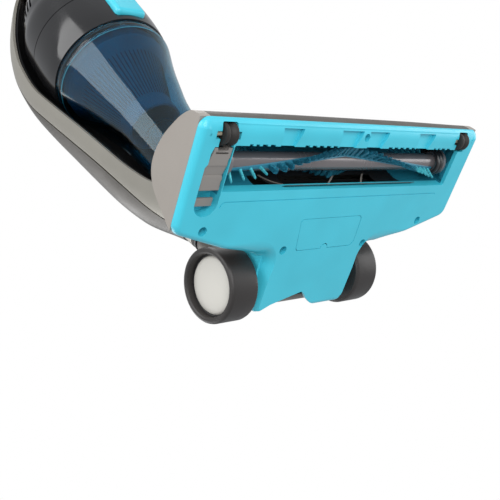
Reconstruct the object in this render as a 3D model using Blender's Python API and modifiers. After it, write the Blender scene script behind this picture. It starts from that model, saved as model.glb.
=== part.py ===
"""Cordless 2-in-1 stick vacuum with a powered brush head, as an assembly of separate pieces.

Head sizes are measured from the floor (z) and from the rear wheels' axle line (y, front is -Y).
Body sizes use the leaning body's own frame: v runs to its back and w up its length, both from
the axle line.  All sizes are millimetres; the objects are made in metres.
"""

import math

import bmesh
import bpy
from mathutils import Matrix, Vector

MM = 0.001
GAP = 0.3             # gap between pieces that touch
RUN = 0.5             # running clearance round a moving piece

# ---- driving dimensions -------------------------------------------------------------------
LEAN = 15.0           # forward lean of the parked body, degrees

HEAD_HALF = 130.0     # half of the head's width over its end caps
CAP_T = 7.5           # end cap thickness
HEAD_FRONT = -120.0   # front edge of the head
SIDE_REAR = -50.5     # rear end of the head's straight sides
REAR_MID = (88.0, -39.7)
DUCT_HALF = 47.0      # half width of the housing between the rear wheels
DUCT_FRONT = -33.5
DUCT_REAR = 14.0
SOLE_Z = 3.5          # underside above the floor
SOLE_T = 2.5
PART_Z = 8.0          # parting line between the sole and the top cover
WALL = 2.2            # moulded wall of the leaning body
HEAD_WALL = 1.8       # moulded wall of the head

WHEEL_R = 25.0
WHEEL_W = 23.0
WHEEL_OUT = 72.0      # outer face of a rear wheel
HUB_R = 20.4
AXLE_R = 3.0
CHEEK_T = 7.0

ROLLER_R = 6.3
ROLLER_W = 9.0
ROLLER_X = 111.0
ROLLER_Y = -111.6
PIN_R = 1.3

MOUTH_L = -104.5      # brush opening in the sole
MOUTH_R = 110.5
MOUTH_FRONT = -106.0
MOUTH_REAR = -78.5

BRUSH_Y = -91.5
BRUSH_Z = 15.7
SPINDLE_R = 6.5
BRISTLE_R = 14.2
TUNNEL_R = 14.9
TUNNEL_T = 1.0
BRISTLE_HALF = 97.0
BRISTLE_START = 198.0   # angle of a bristle row at the middle, degrees from +Y
BRISTLE_TWIST = 108.0   # how far it winds on the way to each end
BRISTLE_T = 3.0

MOTOR_Y = -67.0
MOTOR_Z = 14.9
MOTOR_R = 8.2
MOTOR_X = (73.0, 104.0)
BELT_X = (113.0, 118.5)
BIG_PULLEY_R = 7.5
SMALL_PULLEY_R = 4.0
BELT_T = 1.0

BARREL_R = 17.5       # neck barrel round the axle line
BARREL_HALF = 39.0
BORE_R = 13.5         # air path
COLLAR_V = 28.0       # swivel axis behind the axle line
COLLAR_W = 70.0
COLLAR_R = 20.0

CUP_V = 11.6          # hand unit's axis behind the axle line
NOSE_W = 106.0
CUP_W = 244.5         # top of the clear cup
SEAM_W = 251.0        # top of the cup's collar
CUP_R = 50.0
CUP_LEAN = 0.045      # how far the hand unit leans back per unit of height
NOSE_R = 23.5
CUP_WALL = 2.0

TUBE_V = 29.0
TUBE_R = 13.5
TUBE_T = 1.5
TUBE_W = (384.0, 900.0)
SLEEVE_R = 16.5       # frame's socket round the foot of the tube
SLEEVE_W = (378.0, 428.0)
GRIP_RX = 16.5        # handle's oval section
GRIP_RN = 18.5
GRIP_WALL = 3.5

CYAN = (0.060, 0.520, 0.640)
WARM_GREY = (0.350, 0.330, 0.300)
DARK_GREY = (0.050, 0.047, 0.042)
BLACK = (0.012, 0.012, 0.013)
SILVER = (0.450, 0.430, 0.390)

PALETTE = {
    "cyan": (CYAN, 0.32, 0.0),
    "warm_grey": (WARM_GREY, 0.42, 0.0),
    "dark_grey": (DARK_GREY, 0.38, 0.0),
    "black": (BLACK, 0.45, 0.0),
    "silver": (SILVER, 0.30, 0.6),
    "rubber": ((0.020, 0.019, 0.018), 0.75, 0.0),
    "hub_white": ((0.560, 0.550, 0.500), 0.40, 0.0),
    "bristle": ((0.020, 0.200, 0.330), 0.55, 0.0),
    "steel": ((0.550, 0.550, 0.560), 0.25, 1.0),
    "brass": ((0.600, 0.450, 0.180), 0.30, 1.0),
    "spindle": ((0.230, 0.210, 0.210), 0.30, 0.4),
    "clear_blue": ((0.020, 0.160, 0.260), 0.08, 0.0),
    "gunmetal": ((0.120, 0.115, 0.105), 0.28, 0.7),
    "filter_blue": ((0.020, 0.250, 0.340), 0.50, 0.0),
    "white": ((0.800, 0.800, 0.780), 0.60, 0.0),
    "lens": ((0.850, 0.870, 0.880), 0.10, 0.0),
    "board": ((0.020, 0.160, 0.060), 0.50, 0.0),
    "cell": ((0.080, 0.250, 0.120), 0.40, 0.0),
}


# ---- helpers ------------------------------------------------------------------------------
def clear_scene():
    for obj in list(bpy.data.objects):
        bpy.data.objects.remove(obj, do_unlink=True)


def collection(name):
    found = bpy.data.collections.new(name)
    bpy.context.scene.collection.children.link(found)
    return found


def material(name):
    found = bpy.data.materials.get(name)
    if found:
        return found
    colour, roughness, metallic = PALETTE[name]
    found = bpy.data.materials.new(name)
    found.use_nodes = True
    shader = found.node_tree.nodes["Principled BSDF"]
    shader.inputs["Base Color"].default_value = (*colour, 1.0)
    shader.inputs["Roughness"].default_value = roughness
    shader.inputs["Metallic"].default_value = metallic
    return found


def object_of(name, mesh):
    obj = bpy.data.objects.new(name, mesh)
    PARTS.objects.link(obj)
    return obj


def from_bmesh(name, bm):
    bmesh.ops.scale(bm, vec=(MM, MM, MM), verts=bm.verts)
    mesh = bpy.data.meshes.new(name)
    bm.to_mesh(mesh)
    bm.free()
    return object_of(name, mesh)


def settle(obj):
    """Replaces an object's data with its evaluated mesh, so that it can be cut again or be a cutter."""
    bpy.context.view_layer.update()
    graph = bpy.context.evaluated_depsgraph_get()
    mesh = bpy.data.meshes.new_from_object(obj.evaluated_get(graph))
    name = obj.name
    if obj.type != "MESH":
        bm = bmesh.new()
        bm.from_mesh(mesh)
        bmesh.ops.remove_doubles(bm, verts=bm.verts, dist=0.00001)
        bmesh.ops.recalc_face_normals(bm, faces=bm.faces)
        bm.to_mesh(mesh)
        bm.free()
        place = obj.matrix_world.copy()
        bpy.data.objects.remove(obj, do_unlink=True)
        obj = object_of(name, mesh)
        obj.matrix_world = place
        return obj
    obj.modifiers.clear()
    obj.data = mesh
    mesh.name = name
    return obj


def bake_place(obj):
    """Moves an object's place into its mesh."""
    bpy.context.view_layer.update()
    obj.data.transform(obj.matrix_world)
    obj.matrix_world = Matrix.Identity(4)
    return obj


def box(name, low, high, bevel=0.0, segments=2):
    bm = bmesh.new()
    bmesh.ops.create_cube(bm, size=1.0)
    size = [h - l for l, h in zip(low, high)]
    middle = [(h + l) / 2 for l, h in zip(low, high)]
    bmesh.ops.scale(bm, vec=size, verts=bm.verts)
    bmesh.ops.translate(bm, vec=middle, verts=bm.verts)
    obj = from_bmesh(name, bm)
    if bevel:
        round_edges(obj, bevel, segments)
    return obj


def round_edges(obj, width, segments=2, angle=40.0):
    edge = obj.modifiers.new("rounding", "BEVEL")
    edge.width = width * MM
    edge.segments = segments
    edge.limit_method = "ANGLE"
    edge.angle_limit = math.radians(angle)
    edge.use_clamp_overlap = True
    return settle(obj)


AXIS_TURN = {
    "X": Matrix.Rotation(math.radians(90), 4, "Y"),
    "Y": Matrix.Rotation(math.radians(-90), 4, "X"),
    "Z": Matrix.Identity(4),
}


def rod(name, radius, start, length, axis="Z", steps=20, end_radius=None):
    """A cylinder or cone from the point start, for length along axis."""
    bm = bmesh.new()
    bmesh.ops.create_cone(bm, cap_ends=True, segments=steps, radius1=radius,
                          radius2=radius if end_radius is None else end_radius, depth=length)
    bmesh.ops.translate(bm, vec=(0, 0, length / 2), verts=bm.verts)
    bmesh.ops.transform(bm, matrix=Matrix.Translation(start) @ AXIS_TURN[axis], verts=bm.verts)
    return from_bmesh(name, bm)


def turned(name, profile, centre=(0, 0, 0), axis="Z", steps=24, closed=False):
    """A turned piece: profile is (radius, height) from top to bottom down its outer side."""
    bm = bmesh.new()
    verts = [bm.verts.new((r, 0, h)) for r, h in profile]
    for a, b in zip(verts, verts[1:]):
        bm.edges.new((a, b))
    if closed:
        bm.edges.new((verts[-1], verts[0]))
    obj = from_bmesh(name, bm)
    screw = obj.modifiers.new("turn", "SCREW")
    screw.steps = screw.render_steps = steps
    screw.use_merge_vertices = True
    screw.merge_threshold = 0.00001
    screw.use_smooth_shade = False
    obj = settle(obj)
    turn = Matrix.Translation(Vector(centre) * MM) @ AXIS_TURN[axis]
    obj.data.transform(turn)
    return obj


def outline(name, loops, depth_from, depth_to):
    """A flat plate in the XY plane from closed loops of points; a loop inside another is a hole."""
    data = bpy.data.curves.new(name, "CURVE")
    data.dimensions = "2D"
    data.fill_mode = "BOTH"
    data.extrude = (depth_to - depth_from) / 2 * MM
    for loop in loops:
        spline = data.splines.new("POLY")
        spline.points.add(len(loop) - 1)
        for point, (x, y) in zip(spline.points, loop):
            point.co = (x * MM, y * MM, 0, 1)
        spline.use_cyclic_u = True
    obj = object_of(name, data)
    obj.location.z = (depth_from + depth_to) / 2 * MM
    return bake_place(settle(obj))


def side_plate(name, loops, x_from, x_to):
    """A plate whose outline is given as (y, z) and whose thickness runs along X."""
    obj = outline(name, loops, x_from, x_to)
    turn = Matrix(((0, 0, 1, 0), (1, 0, 0, 0), (0, 1, 0, 0), (0, 0, 0, 1)))
    obj.data.transform(turn)
    return obj


def skin(name, rows, thickness, ring=False, flip=False, inward=True):
    """An open lofted surface through rows of points, given a wall by Solidify."""
    bm = bmesh.new()
    grid = [[bm.verts.new(p) for p in row] for row in rows]
    count = len(rows[0])
    for low, high in zip(grid, grid[1:]):
        for i in range(count if ring else count - 1):
            j = (i + 1) % count
            quad = (low[i], low[j], high[j], high[i])
            bm.faces.new(quad[::-1] if flip else quad)
    obj = from_bmesh(name, bm)
    wall = obj.modifiers.new("wall", "SOLIDIFY")
    wall.thickness = thickness * MM
    wall.offset = -1 if inward else 1
    wall.use_even_offset = True
    wall.use_rim = True
    return settle(obj)


def loft(name, rows):
    """A closed solid through closed sections, capped at both ends."""
    bm = bmesh.new()
    grid = [[bm.verts.new(p) for p in row] for row in rows]
    count = len(rows[0])
    for low, high in zip(grid, grid[1:]):
        for i in range(count):
            j = (i + 1) % count
            bm.faces.new((low[i], low[j], high[j], high[i]))
    bm.faces.new(grid[0][::-1])
    bm.faces.new(grid[-1])
    bmesh.ops.recalc_face_normals(bm, faces=bm.faces)
    return from_bmesh(name, bm)


def combine(obj, other, operation):
    """Cuts other out of obj, or joins it on, and removes the helper."""
    step = obj.modifiers.new(operation.lower(), "BOOLEAN")
    step.operation = operation
    step.object = other
    step.solver = "EXACT"
    obj = settle(obj)
    bpy.data.objects.remove(other, do_unlink=True)
    return obj


def cut(obj, *others):
    for other in others:
        obj = combine(obj, other, "DIFFERENCE")
    return obj


def join(obj, *others):
    for other in others:
        obj = combine(obj, other, "UNION")
    return obj


def group(obj, *others):
    """Puts separate solids, such as a set of screws, in one object."""
    bm = bmesh.new()
    bm.from_mesh(obj.data)
    for other in others:
        bm.from_mesh(other.data)
        bpy.data.objects.remove(other, do_unlink=True)
    bm.to_mesh(obj.data)
    bm.free()
    return obj


def frame(name, parent=None, place=(0, 0, 0), turn_x=0.0):
    empty = bpy.data.objects.new(name, None)
    PARTS.objects.link(empty)
    empty.parent = parent
    empty.location = Vector(place) * MM
    empty.rotation_euler.x = math.radians(turn_x)
    return empty


def hang(obj, parent, paint, pivot=(0, 0, 0)):
    """Parents a piece to its frame with its origin at pivot, and paints it."""
    point = Vector(pivot) * MM
    obj.data.transform(Matrix.Translation(-point))
    obj.location = point
    obj.parent = parent
    obj.data.materials.clear()
    obj.data.materials.append(material(paint))
    obj.data.shade_smooth()
    obj.data.set_sharp_from_angle(angle=math.radians(35))
    return obj


def smooth(t):
    t = max(0.0, min(1.0, t))
    return t * t * (3 - 2 * t)


def mix(a, b, t):
    return a + (b - a) * t


def along(stations, w):
    """Values of a table of (w, value, ...) stations at w, read smoothly."""
    if w <= stations[0][0]:
        return stations[0][1:]
    for low, high in zip(stations, stations[1:]):
        if w <= high[0]:
            t = (w - low[0]) / (high[0] - low[0])
            return tuple(mix(a, b, t) for a, b in zip(low[1:], high[1:]))
    return stations[-1][1:]


def ellipse(cx, cy, rx, ry, steps=24, start=0.0):
    return [(cx + rx * math.cos(start + 2 * math.pi * i / steps),
             cy + ry * math.sin(start + 2 * math.pi * i / steps)) for i in range(steps)]


# ---- floor head ---------------------------------------------------------------------------
def tray_loop(inset=0.0):
    """Plan outline of the tray, drawn in from its outer edge by inset."""
    half = HEAD_HALF - inset
    front = HEAD_FRONT + inset
    corner = 8.0 - inset * 0.6
    right = [
        (half - corner, front), (half - corner * 0.3, front + corner * 0.3), (half, front + corner),
        (half, SIDE_REAR - 6), (half - 6, SIDE_REAR - inset * 0.5),
        (REAR_MID[0], REAR_MID[1] - inset), (DUCT_HALF - 4, DUCT_FRONT - inset),
    ]
    return [(-x, y) for x, y in reversed(right)] + right


def make_base_shell():
    """Cyan sole: tray, housing between the wheels, cheeks for the axle, and all its openings."""
    shell = outline("base_shell", [tray_loop()], SOLE_Z, PART_Z)
    shell = round_edges(shell, 1.9, 2, 60)
    duct = box("duct", (-DUCT_HALF, DUCT_FRONT - 16, SOLE_Z), (DUCT_HALF, DUCT_REAR, WHEEL_R), 7, 3)
    trim = box("trim", (-DUCT_HALF - 5, DUCT_FRONT - 30, WHEEL_R - 8),
               (DUCT_HALF + 5, DUCT_REAR + 5, WHEEL_R + 5))
    duct = cut(duct, trim)
    shell = join(shell, duct)
    for side in (-1, 1):
        inner = side * (DUCT_HALF - CHEEK_T)
        low, high = sorted((inner, side * (DUCT_HALF - 0.2)))
        arc = [(13 * math.cos(math.radians(a)), WHEEL_R + 13 * math.sin(math.radians(a)))
               for a in range(0, 181, 20)]
        cheek = side_plate("cheek", [[(DUCT_FRONT - 2, PART_Z - 1), (9, PART_Z - 1)] + arc
                                     + [(DUCT_FRONT - 2, WHEEL_R + 3)]], low, high)
        shell = join(shell, cheek)
    room = DUCT_HALF - CHEEK_T
    pocket = outline("pocket", [tray_loop(WALL)], SOLE_Z + SOLE_T, PART_Z + 5)
    hollow = box("hollow", (-room, DUCT_FRONT - 20, SOLE_Z + SOLE_T), (room, DUCT_REAR + 5, WHEEL_R + 20))
    shell = cut(shell, pocket, hollow)
    lip = box("lip", (MOUTH_L - 16, HEAD_FRONT + 1.5, SOLE_Z + SOLE_T - 1),
              (MOUTH_R + 10, MOUTH_FRONT, PART_Z - 0.2))
    shell = join(shell, lip)
    mouth = box("mouth", (MOUTH_L, MOUTH_FRONT, 0), (MOUTH_R, MOUTH_REAR, 20))
    shell = cut(shell, mouth, *roller_wells(), *debris_notches(), *latch_slot())
    holes = [rod("hole", 2.6, (x, y, 0), 20, "Z", 16) for x, y in SCREWS]
    shell = cut(shell, *holes)
    shell = cut(shell, access_plate("access_hole", 0.0, SOLE_Z - 2, SOLE_Z + SOLE_T + 3))
    for side in (-1, 1):
        shell = cut(shell, rod("axle_hole", AXLE_R + 0.2, (side * 60 - 40, 0, WHEEL_R), 80, "X", 16))
    notch = box("notch", (-6, DUCT_REAR - 5, 0), (26, DUCT_REAR + 5, 20), 2, 2)
    shell = cut(shell, notch)
    hang(shell, HEAD, "cyan")


SCREWS = [(-110, -55), (106, -54), (-38, -36), (41, -35), (4, -111.5)]


def roller_wells():
    made = []
    for side in (-1, 1):
        x = side * ROLLER_X
        half = ROLLER_W / 2 + 0.8
        top = 2 * ROLLER_R + RUN
        made.append(box("well", (x - half, ROLLER_Y - ROLLER_R - RUN, 0),
                        (x + half, ROLLER_Y + ROLLER_R + RUN, top)))
        made.append(box("pin_seat", (x - half - 3, ROLLER_Y - 2, 0), (x + half + 3, ROLLER_Y + 2, top)))
    return made


def debris_notches():
    """Ramps across the front lip that let crumbs reach the brush."""
    made = []
    for middle in (-62, -11, 16, 68):
        ramp = [(HEAD_FRONT + 4, SOLE_Z - 1.0), (MOUTH_FRONT + 1, SOLE_Z - 1.0),
                (MOUTH_FRONT + 1, SOLE_Z + 3.6)]
        made.append(side_plate("notch", [ramp], middle - 8, middle + 8))
    return made


LATCH_X = (-120.8, -105.4)
LATCH_Y = (-104.5, -79.0)
LATCH_TRAVEL = 8.0
BUSH_ROOM_R = 7.9     # room for the brush's end bush as the latch passes it


def latch_slot():
    """The end opening that the brush comes out of, closed by the sliding latch."""
    x0, x1 = LATCH_X[0] - RUN, LATCH_X[1] + 1.5
    middle = (x0 + x1) / 2 - 0.5
    slot = box("slot", (x0, LATCH_Y[0] - RUN, 0), (x1, LATCH_Y[1] + LATCH_TRAVEL + 1, 20))
    end = rod("slot_end", (x1 - x0) / 2 - 1, (middle, LATCH_Y[1] + LATCH_TRAVEL + 1, 0), 20, "Z", 20)
    return [slot, end]


ACCESS_REAR = -37.0


def access_plate(name, shrink, low, high):
    """The cover over the air duct, held in the sole just ahead of the neck."""
    half = 27.0 - shrink
    y0, y1 = -57.5 + shrink, ACCESS_REAR - shrink
    loop = [(-half + 4, y0), (half - 1.5, y0), (half, y0 + 1.5), (half, y1 - 3), (half - 3, y1),
            (3, y1), (2, y1 - 1.2), (-2, y1 - 1.2), (-3, y1), (-half, y1)]
    return outline(name, [loop], low, high)


# Side profile of the top cover as (y, z), front to rear: at the end caps, and at the middle.
END_PROFILE = [(-119.4, 6.0), (-120.0, 12.0), (-119.0, 17.0), (-113.6, 23.0), (-106.0, 28.4),
               (-98.0, 33.0), (-88.0, 36.2), (-79.0, 36.4), (-72.0, 33.4), (-66.0, 27.9),
               (-58.8, 17.0), (-51.8, 6.0)]
MID_PROFILE = [(-119.4, 6.0), (-120.0, 12.5), (-119.0, 18.5), (-112.0, 26.0), (-101.0, 33.0),
               (-88.0, 38.5), (-76.0, 42.0), (-64.0, 44.5), (-53.0, 45.0), (-43.0, 42.5),
               (-35.6, 32.0), (-34.0, 6.0)]


def cover_rear(x):
    """Rear edge of the tray at x."""
    x = abs(x)
    if x <= DUCT_HALF:
        return DUCT_FRONT - 0.5
    if x <= REAR_MID[0]:
        return mix(DUCT_FRONT - 0.5, REAR_MID[1] - 0.5, (x - DUCT_HALF) / (REAR_MID[0] - DUCT_HALF))
    return mix(REAR_MID[1] - 0.5, END_PROFILE[-1][0], (x - REAR_MID[0]) / (HEAD_HALF - CAP_T - REAR_MID[0]))


def cover_profile(x):
    """Side profile of the top cover at x."""
    reach = HEAD_HALF - CAP_T - GAP
    t = smooth((reach - abs(x)) / (reach - DUCT_HALF))
    rear = cover_rear(x)
    points = []
    for (ya, za), (yb, zb) in zip(END_PROFILE, MID_PROFILE):
        points.append((mix(ya, yb, t), mix(za, zb, t)))
    shift = rear - points[-1][0]
    span = points[-1][0] - points[0][0]
    return [(y + shift * ((y - points[0][0]) / span) ** 2, z) for y, z in points]


def below_cover():
    return box("below", (-HEAD_HALF - 1, HEAD_FRONT - 5, 0), (HEAD_HALF + 1, 0, PART_Z + GAP))


def make_top_cover():
    reach = HEAD_HALF - CAP_T - GAP
    xs = [-reach, -116, -108, -98, -86, -72, -60, -DUCT_HALF, -24, 0]
    xs += [-x for x in reversed(xs[:-1])]
    rows = [[(x, y, z) for y, z in cover_profile(x)] for x in xs]
    cover = skin("top_cover", rows, HEAD_WALL, flip=True)
    windows = [box("window", (m - 9, HEAD_FRONT - 5, 19.5), (m + 9, HEAD_FRONT + 12, 23.5))
               for m in LED_X]
    duct = box("duct_gap", (-DUCT_HALF - 0.6, -51, 2), (DUCT_HALF + 0.6, 6, 38.3))
    cover = cut(cover, *roller_wells(), *windows, join(below_cover(), duct))
    hang(cover, HEAD, "warm_grey")


LED_X = (-26.0, 26.0)


def make_leds():
    """Light guide: a bar behind the cover with a lens through each window."""
    guide = box("light_guide", (-44, HEAD_FRONT + 8.5, 18.5), (44, HEAD_FRONT + 11, 23.2))
    lenses = [box("lens", (m - 8.7, HEAD_FRONT + 2.6, 19.8), (m + 8.7, HEAD_FRONT + 9, 23.2))
              for m in LED_X]
    hang(join(guide, *lenses), HEAD, "lens")


def make_end_caps():
    """Outer side plates of the head, drawn by the cover's own end profile."""
    for side, name in ((-1, "end_cap_left"), (1, "end_cap_right")):
        low, high = sorted((side * (HEAD_HALF - CAP_T), side * (HEAD_HALF - 0.2)))
        cap = side_plate(name, [END_PROFILE], low, high)
        cap = cut(round_edges(cap, 1.2, 1, 60), below_cover())
        hang(cap, HEAD, "warm_grey")


def make_access_cover():
    plate = access_plate("access_cover", GAP, SOLE_Z + 0.3, SOLE_Z + SOLE_T)
    hang(plate, HEAD, "cyan")


def make_tunnel():
    """The vault over the brush, open below and through a wide throat behind."""
    def arch(radius, floor):
        turn = [(BRUSH_Y + radius * math.cos(math.radians(a)), BRUSH_Z + radius * math.sin(math.radians(a)))
                for a in range(0, 181, 12)]
        return [(BRUSH_Y + radius, floor)] + turn + [(BRUSH_Y - radius, floor)]
    floor = SOLE_Z + SOLE_T + GAP
    outer = arch(TUNNEL_R + TUNNEL_T, floor)
    left, right = MOUTH_L + 1.0, MOUTH_R
    tunnel = side_plate("brush_tunnel", [outer], left - 1.5, right + 1.5)
    inside = side_plate("inside", [arch(TUNNEL_R, floor - 5)], left, right)
    throat = box("throat", (-70, BRUSH_Y + 5, 9), (70, BRUSH_Y + 30, 24))
    shaft_hole = rod("shaft_hole", 5.2, (right - 5, BRUSH_Y, BRUSH_Z), 20, "X", 24)
    bush_hole = rod("bush_hole", 9.6, (left - 10, BRUSH_Y, BRUSH_Z), 20, "X", 24)
    front_cut = box("front_cut", (left - 5, BRUSH_Y - 30, 0), (right + 5, MOUTH_FRONT + 0.3, PART_Z + 0.3))
    tunnel = cut(tunnel, inside, throat, shaft_hole, bush_hole, front_cut, *roller_wells())
    hang(tunnel, HEAD, "cyan")


def make_throat():
    """Black funnel from the tunnel's throat to the round port at the neck."""
    def ring(half, z0, z1, y, power):
        cz, rz = (z0 + z1) / 2, (z1 - z0) / 2
        made = []
        for i in range(24):
            a = 2 * math.pi * i / 24
            c, s = math.cos(a), math.sin(a)
            made.append((half * math.copysign(abs(c) ** power, c), y, cz + rz * math.copysign(abs(s) ** power, s)))
        return made
    start = BRUSH_Y + TUNNEL_R + TUNNEL_T + GAP + 1.6
    rows = [ring(71, 8.3, 25.0, start, 0.25), ring(54, 8.3, 28.0, start + 9, 0.35),
            ring(27, 9.0, 33.0, start + 26, 0.6), ring(14.5, 10.5, 35.0, start + 38, 1.0),
            ring(14.5, 11.0, 36.4, start + 46, 1.0)]
    funnel = skin("suction_throat", rows, 1.6, ring=True, flip=True)
    hang(funnel, HEAD, "black")


def make_duct_cover():
    """Roof over the housing between the wheels, ahead of the neck."""
    room = DUCT_HALF - CHEEK_T - GAP
    rear = -(BARREL_R + 2.0)
    loop = [(DUCT_FRONT, 41.0), (DUCT_FRONT + 4, 41.6), (rear, 36.0), (rear, 33.5),
            (DUCT_FRONT + 4, 39.0), (DUCT_FRONT, 38.6)]
    hang(side_plate("duct_cover", [loop], -room, room), HEAD, "warm_grey")


def make_latch():
    """Stepped grey slide that frees the brush when it is pushed to the rear."""
    x0, x1 = LATCH_X
    y0, y1 = LATCH_Y
    latch = box("brush_latch", (x0, y0, SOLE_Z + 0.2), (x1, y0 + 10.5, SOLE_Z + SOLE_T + 6.0), 0.5, 1)
    middle = box("step", (x0 + 0.3, y0 + 9, SOLE_Z + 0.8), (x1 - 0.3, y0 + 18, SOLE_Z + SOLE_T + 5.0))
    tail = box("tail", (x0 + 0.3, y0 + 16, SOLE_Z + 1.5), (x1 - 0.3, y1, SOLE_Z + SOLE_T + 4.0))
    latch = join(latch, middle, tail)
    seats = [rod("seat", BUSH_ROOM_R, (x0 - 5, BRUSH_Y - shift, BRUSH_Z), 40, "X", 24) for shift in (0, LATCH_TRAVEL)]
    between = box("between", (x0 - 5, BRUSH_Y - LATCH_TRAVEL, BRUSH_Z - BUSH_ROOM_R), (x1 + 5, BRUSH_Y, BRUSH_Z + 9))
    hang(cut(latch, *seats, between), HEAD, "warm_grey")


def make_brush():
    """Spindle with two V-shaped bristle rows, its end fittings and its pulley."""
    centre = (0, BRUSH_Y, BRUSH_Z)
    half = BRISTLE_HALF + 1
    spindle = turned("brush_spindle", [
        (0, MOUTH_R + 11), (2.4, MOUTH_R + 11), (2.4, MOUTH_R - 2), (9.0, MOUTH_R - 2), (9.0, MOUTH_R - 6),
        (7.4, MOUTH_R - 6.5), (7.4, MOUTH_R - 10), (SPINDLE_R, MOUTH_R - 10.5), (SPINDLE_R, -half),
        (8.6, -half), (8.6, -half - 3), (2.6, -half - 3), (2.6, LATCH_X[0] + 6), (0, LATCH_X[0] + 6)],
        centre, "X", 20)
    hang(spindle, HEAD, "spindle", centre)
    bush = turned("brush_bush", [(6.8, -half - 3.6), (6.8, LATCH_X[0] + 7), (2.9, LATCH_X[0] + 7),
                                 (2.9, -half - 3.6)], centre, "X", 24, closed=True)
    hang(bush, HEAD, "black", centre)
    bearing = turned("brush_bearing", [(4.9, MOUTH_R + 2.6), (4.9, MOUTH_R - 1.4), (2.7, MOUTH_R - 1.4),
                                       (2.7, MOUTH_R + 2.6)], centre, "X", 20, closed=True)
    hang(bearing, HEAD, "steel", centre)
    backing = turned("brush_bristles", [(SPINDLE_R + 1.0, 98), (SPINDLE_R + 1.0, -98), (SPINDLE_R + GAP, -98),
                                        (SPINDLE_R + GAP, 98)], centre, "X", 20, closed=True)
    hang(join(backing, bristle_row(0.0), bristle_row(180.0)), HEAD, "bristle", centre)


def bristle_row(turn):
    """One row as a ribbon that winds from the middle to both ends."""
    sections = []
    steps = 10
    for i in range(-steps, steps + 1):
        x = BRISTLE_HALF * i / steps
        angle = math.radians(BRISTLE_START + turn + BRISTLE_TWIST * abs(i) / steps)
        out = Vector((0, math.cos(angle), math.sin(angle)))
        side = Vector((0, -math.sin(angle), math.cos(angle))) * (BRISTLE_T / 2)
        middle = Vector((x, BRUSH_Y, BRUSH_Z))
        root, tip = middle + out * (SPINDLE_R + 0.6), middle + out * BRISTLE_R
        sections.append([root - side, tip - side * 1.3, tip + side * 1.3, root + side])
    return loft("brush_bristles", sections)


def make_drive():
    """Brush motor with its belt and pulleys at the right end."""
    centre = (0, BRUSH_Y, BRUSH_Z)
    x0, x1 = BELT_X
    big = turned("brush_pulley", [(BIG_PULLEY_R, x1 - 0.4), (BIG_PULLEY_R, x0 + 0.4), (2.7, x0 + 0.4),
                                  (2.7, x1 - 0.4)], centre, "X", 24, closed=True)
    hang(big, HEAD, "black", centre)
    motor_centre = (0, MOTOR_Y, MOTOR_Z)
    small = turned("motor_pulley", [(0, x1 - 0.4), (SMALL_PULLEY_R, x1 - 0.4), (SMALL_PULLEY_R, x0 + 0.4),
                                    (1.5, x0 + 0.4), (1.5, MOTOR_X[1] + 3.2), (0, MOTOR_X[1] + 3.2)],
                   motor_centre, "X", 20)
    hang(small, HEAD, "brass", motor_centre)
    motor = turned("brush_motor", [(0, MOTOR_X[1] + 2.6), (3.5, MOTOR_X[1] + 2.6), (3.5, MOTOR_X[1]),
                                   (MOTOR_R, MOTOR_X[1]), (MOTOR_R, MOTOR_X[0]), (3.0, MOTOR_X[0]),
                                   (3.0, MOTOR_X[0] - 2.5), (0, MOTOR_X[0] - 2.5)], motor_centre, "X", 24)
    hang(motor, HEAD, "steel", motor_centre)
    inner = belt_loop(GAP)
    outer = belt_loop(GAP + BELT_T)
    hang(side_plate("drive_belt", [outer, inner], x0 + 0.6, x1 - 0.6), HEAD, "rubber")


def belt_loop(offset):
    """Loop round both pulleys at an offset from their rims, as (y, z)."""
    dy, dz = MOTOR_Y - BRUSH_Y, MOTOR_Z - BRUSH_Z
    span = math.hypot(dy, dz)
    lean = math.atan2(dz, dy)
    open_angle = math.acos((BIG_PULLEY_R - SMALL_PULLEY_R) / span)
    points = []
    for i in range(15):
        a = lean + open_angle + (2 * math.pi - 2 * open_angle) * i / 14
        points.append((BRUSH_Y + (BIG_PULLEY_R + offset) * math.cos(a),
                       BRUSH_Z + (BIG_PULLEY_R + offset) * math.sin(a)))
    for i in range(9):
        a = lean - open_angle + 2 * open_angle * i / 8
        points.append((MOTOR_Y + (SMALL_PULLEY_R + offset) * math.cos(a),
                       MOTOR_Z + (SMALL_PULLEY_R + offset) * math.sin(a)))
    return points


def make_rollers():
    for side, name in ((-1, "front_roller_left"), (1, "front_roller_right")):
        x = side * ROLLER_X
        half = ROLLER_W / 2
        centre = (x, ROLLER_Y, ROLLER_R)
        roller = turned(name, [(ROLLER_R - 1.2, half), (ROLLER_R, half - 1.4), (ROLLER_R, -half + 1.4),
                               (ROLLER_R - 1.2, -half), (PIN_R + 0.25, -half), (PIN_R + 0.25, half)],
                        centre, "X", 16, closed=True)
        hang(roller, HEAD, "rubber", centre)
        pin = rod(f"{name}_pin", PIN_R, (x - half - 3.4, ROLLER_Y, ROLLER_R), 2 * half + 6.8, "X", 12)
        hang(pin, HEAD, "steel")


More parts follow.
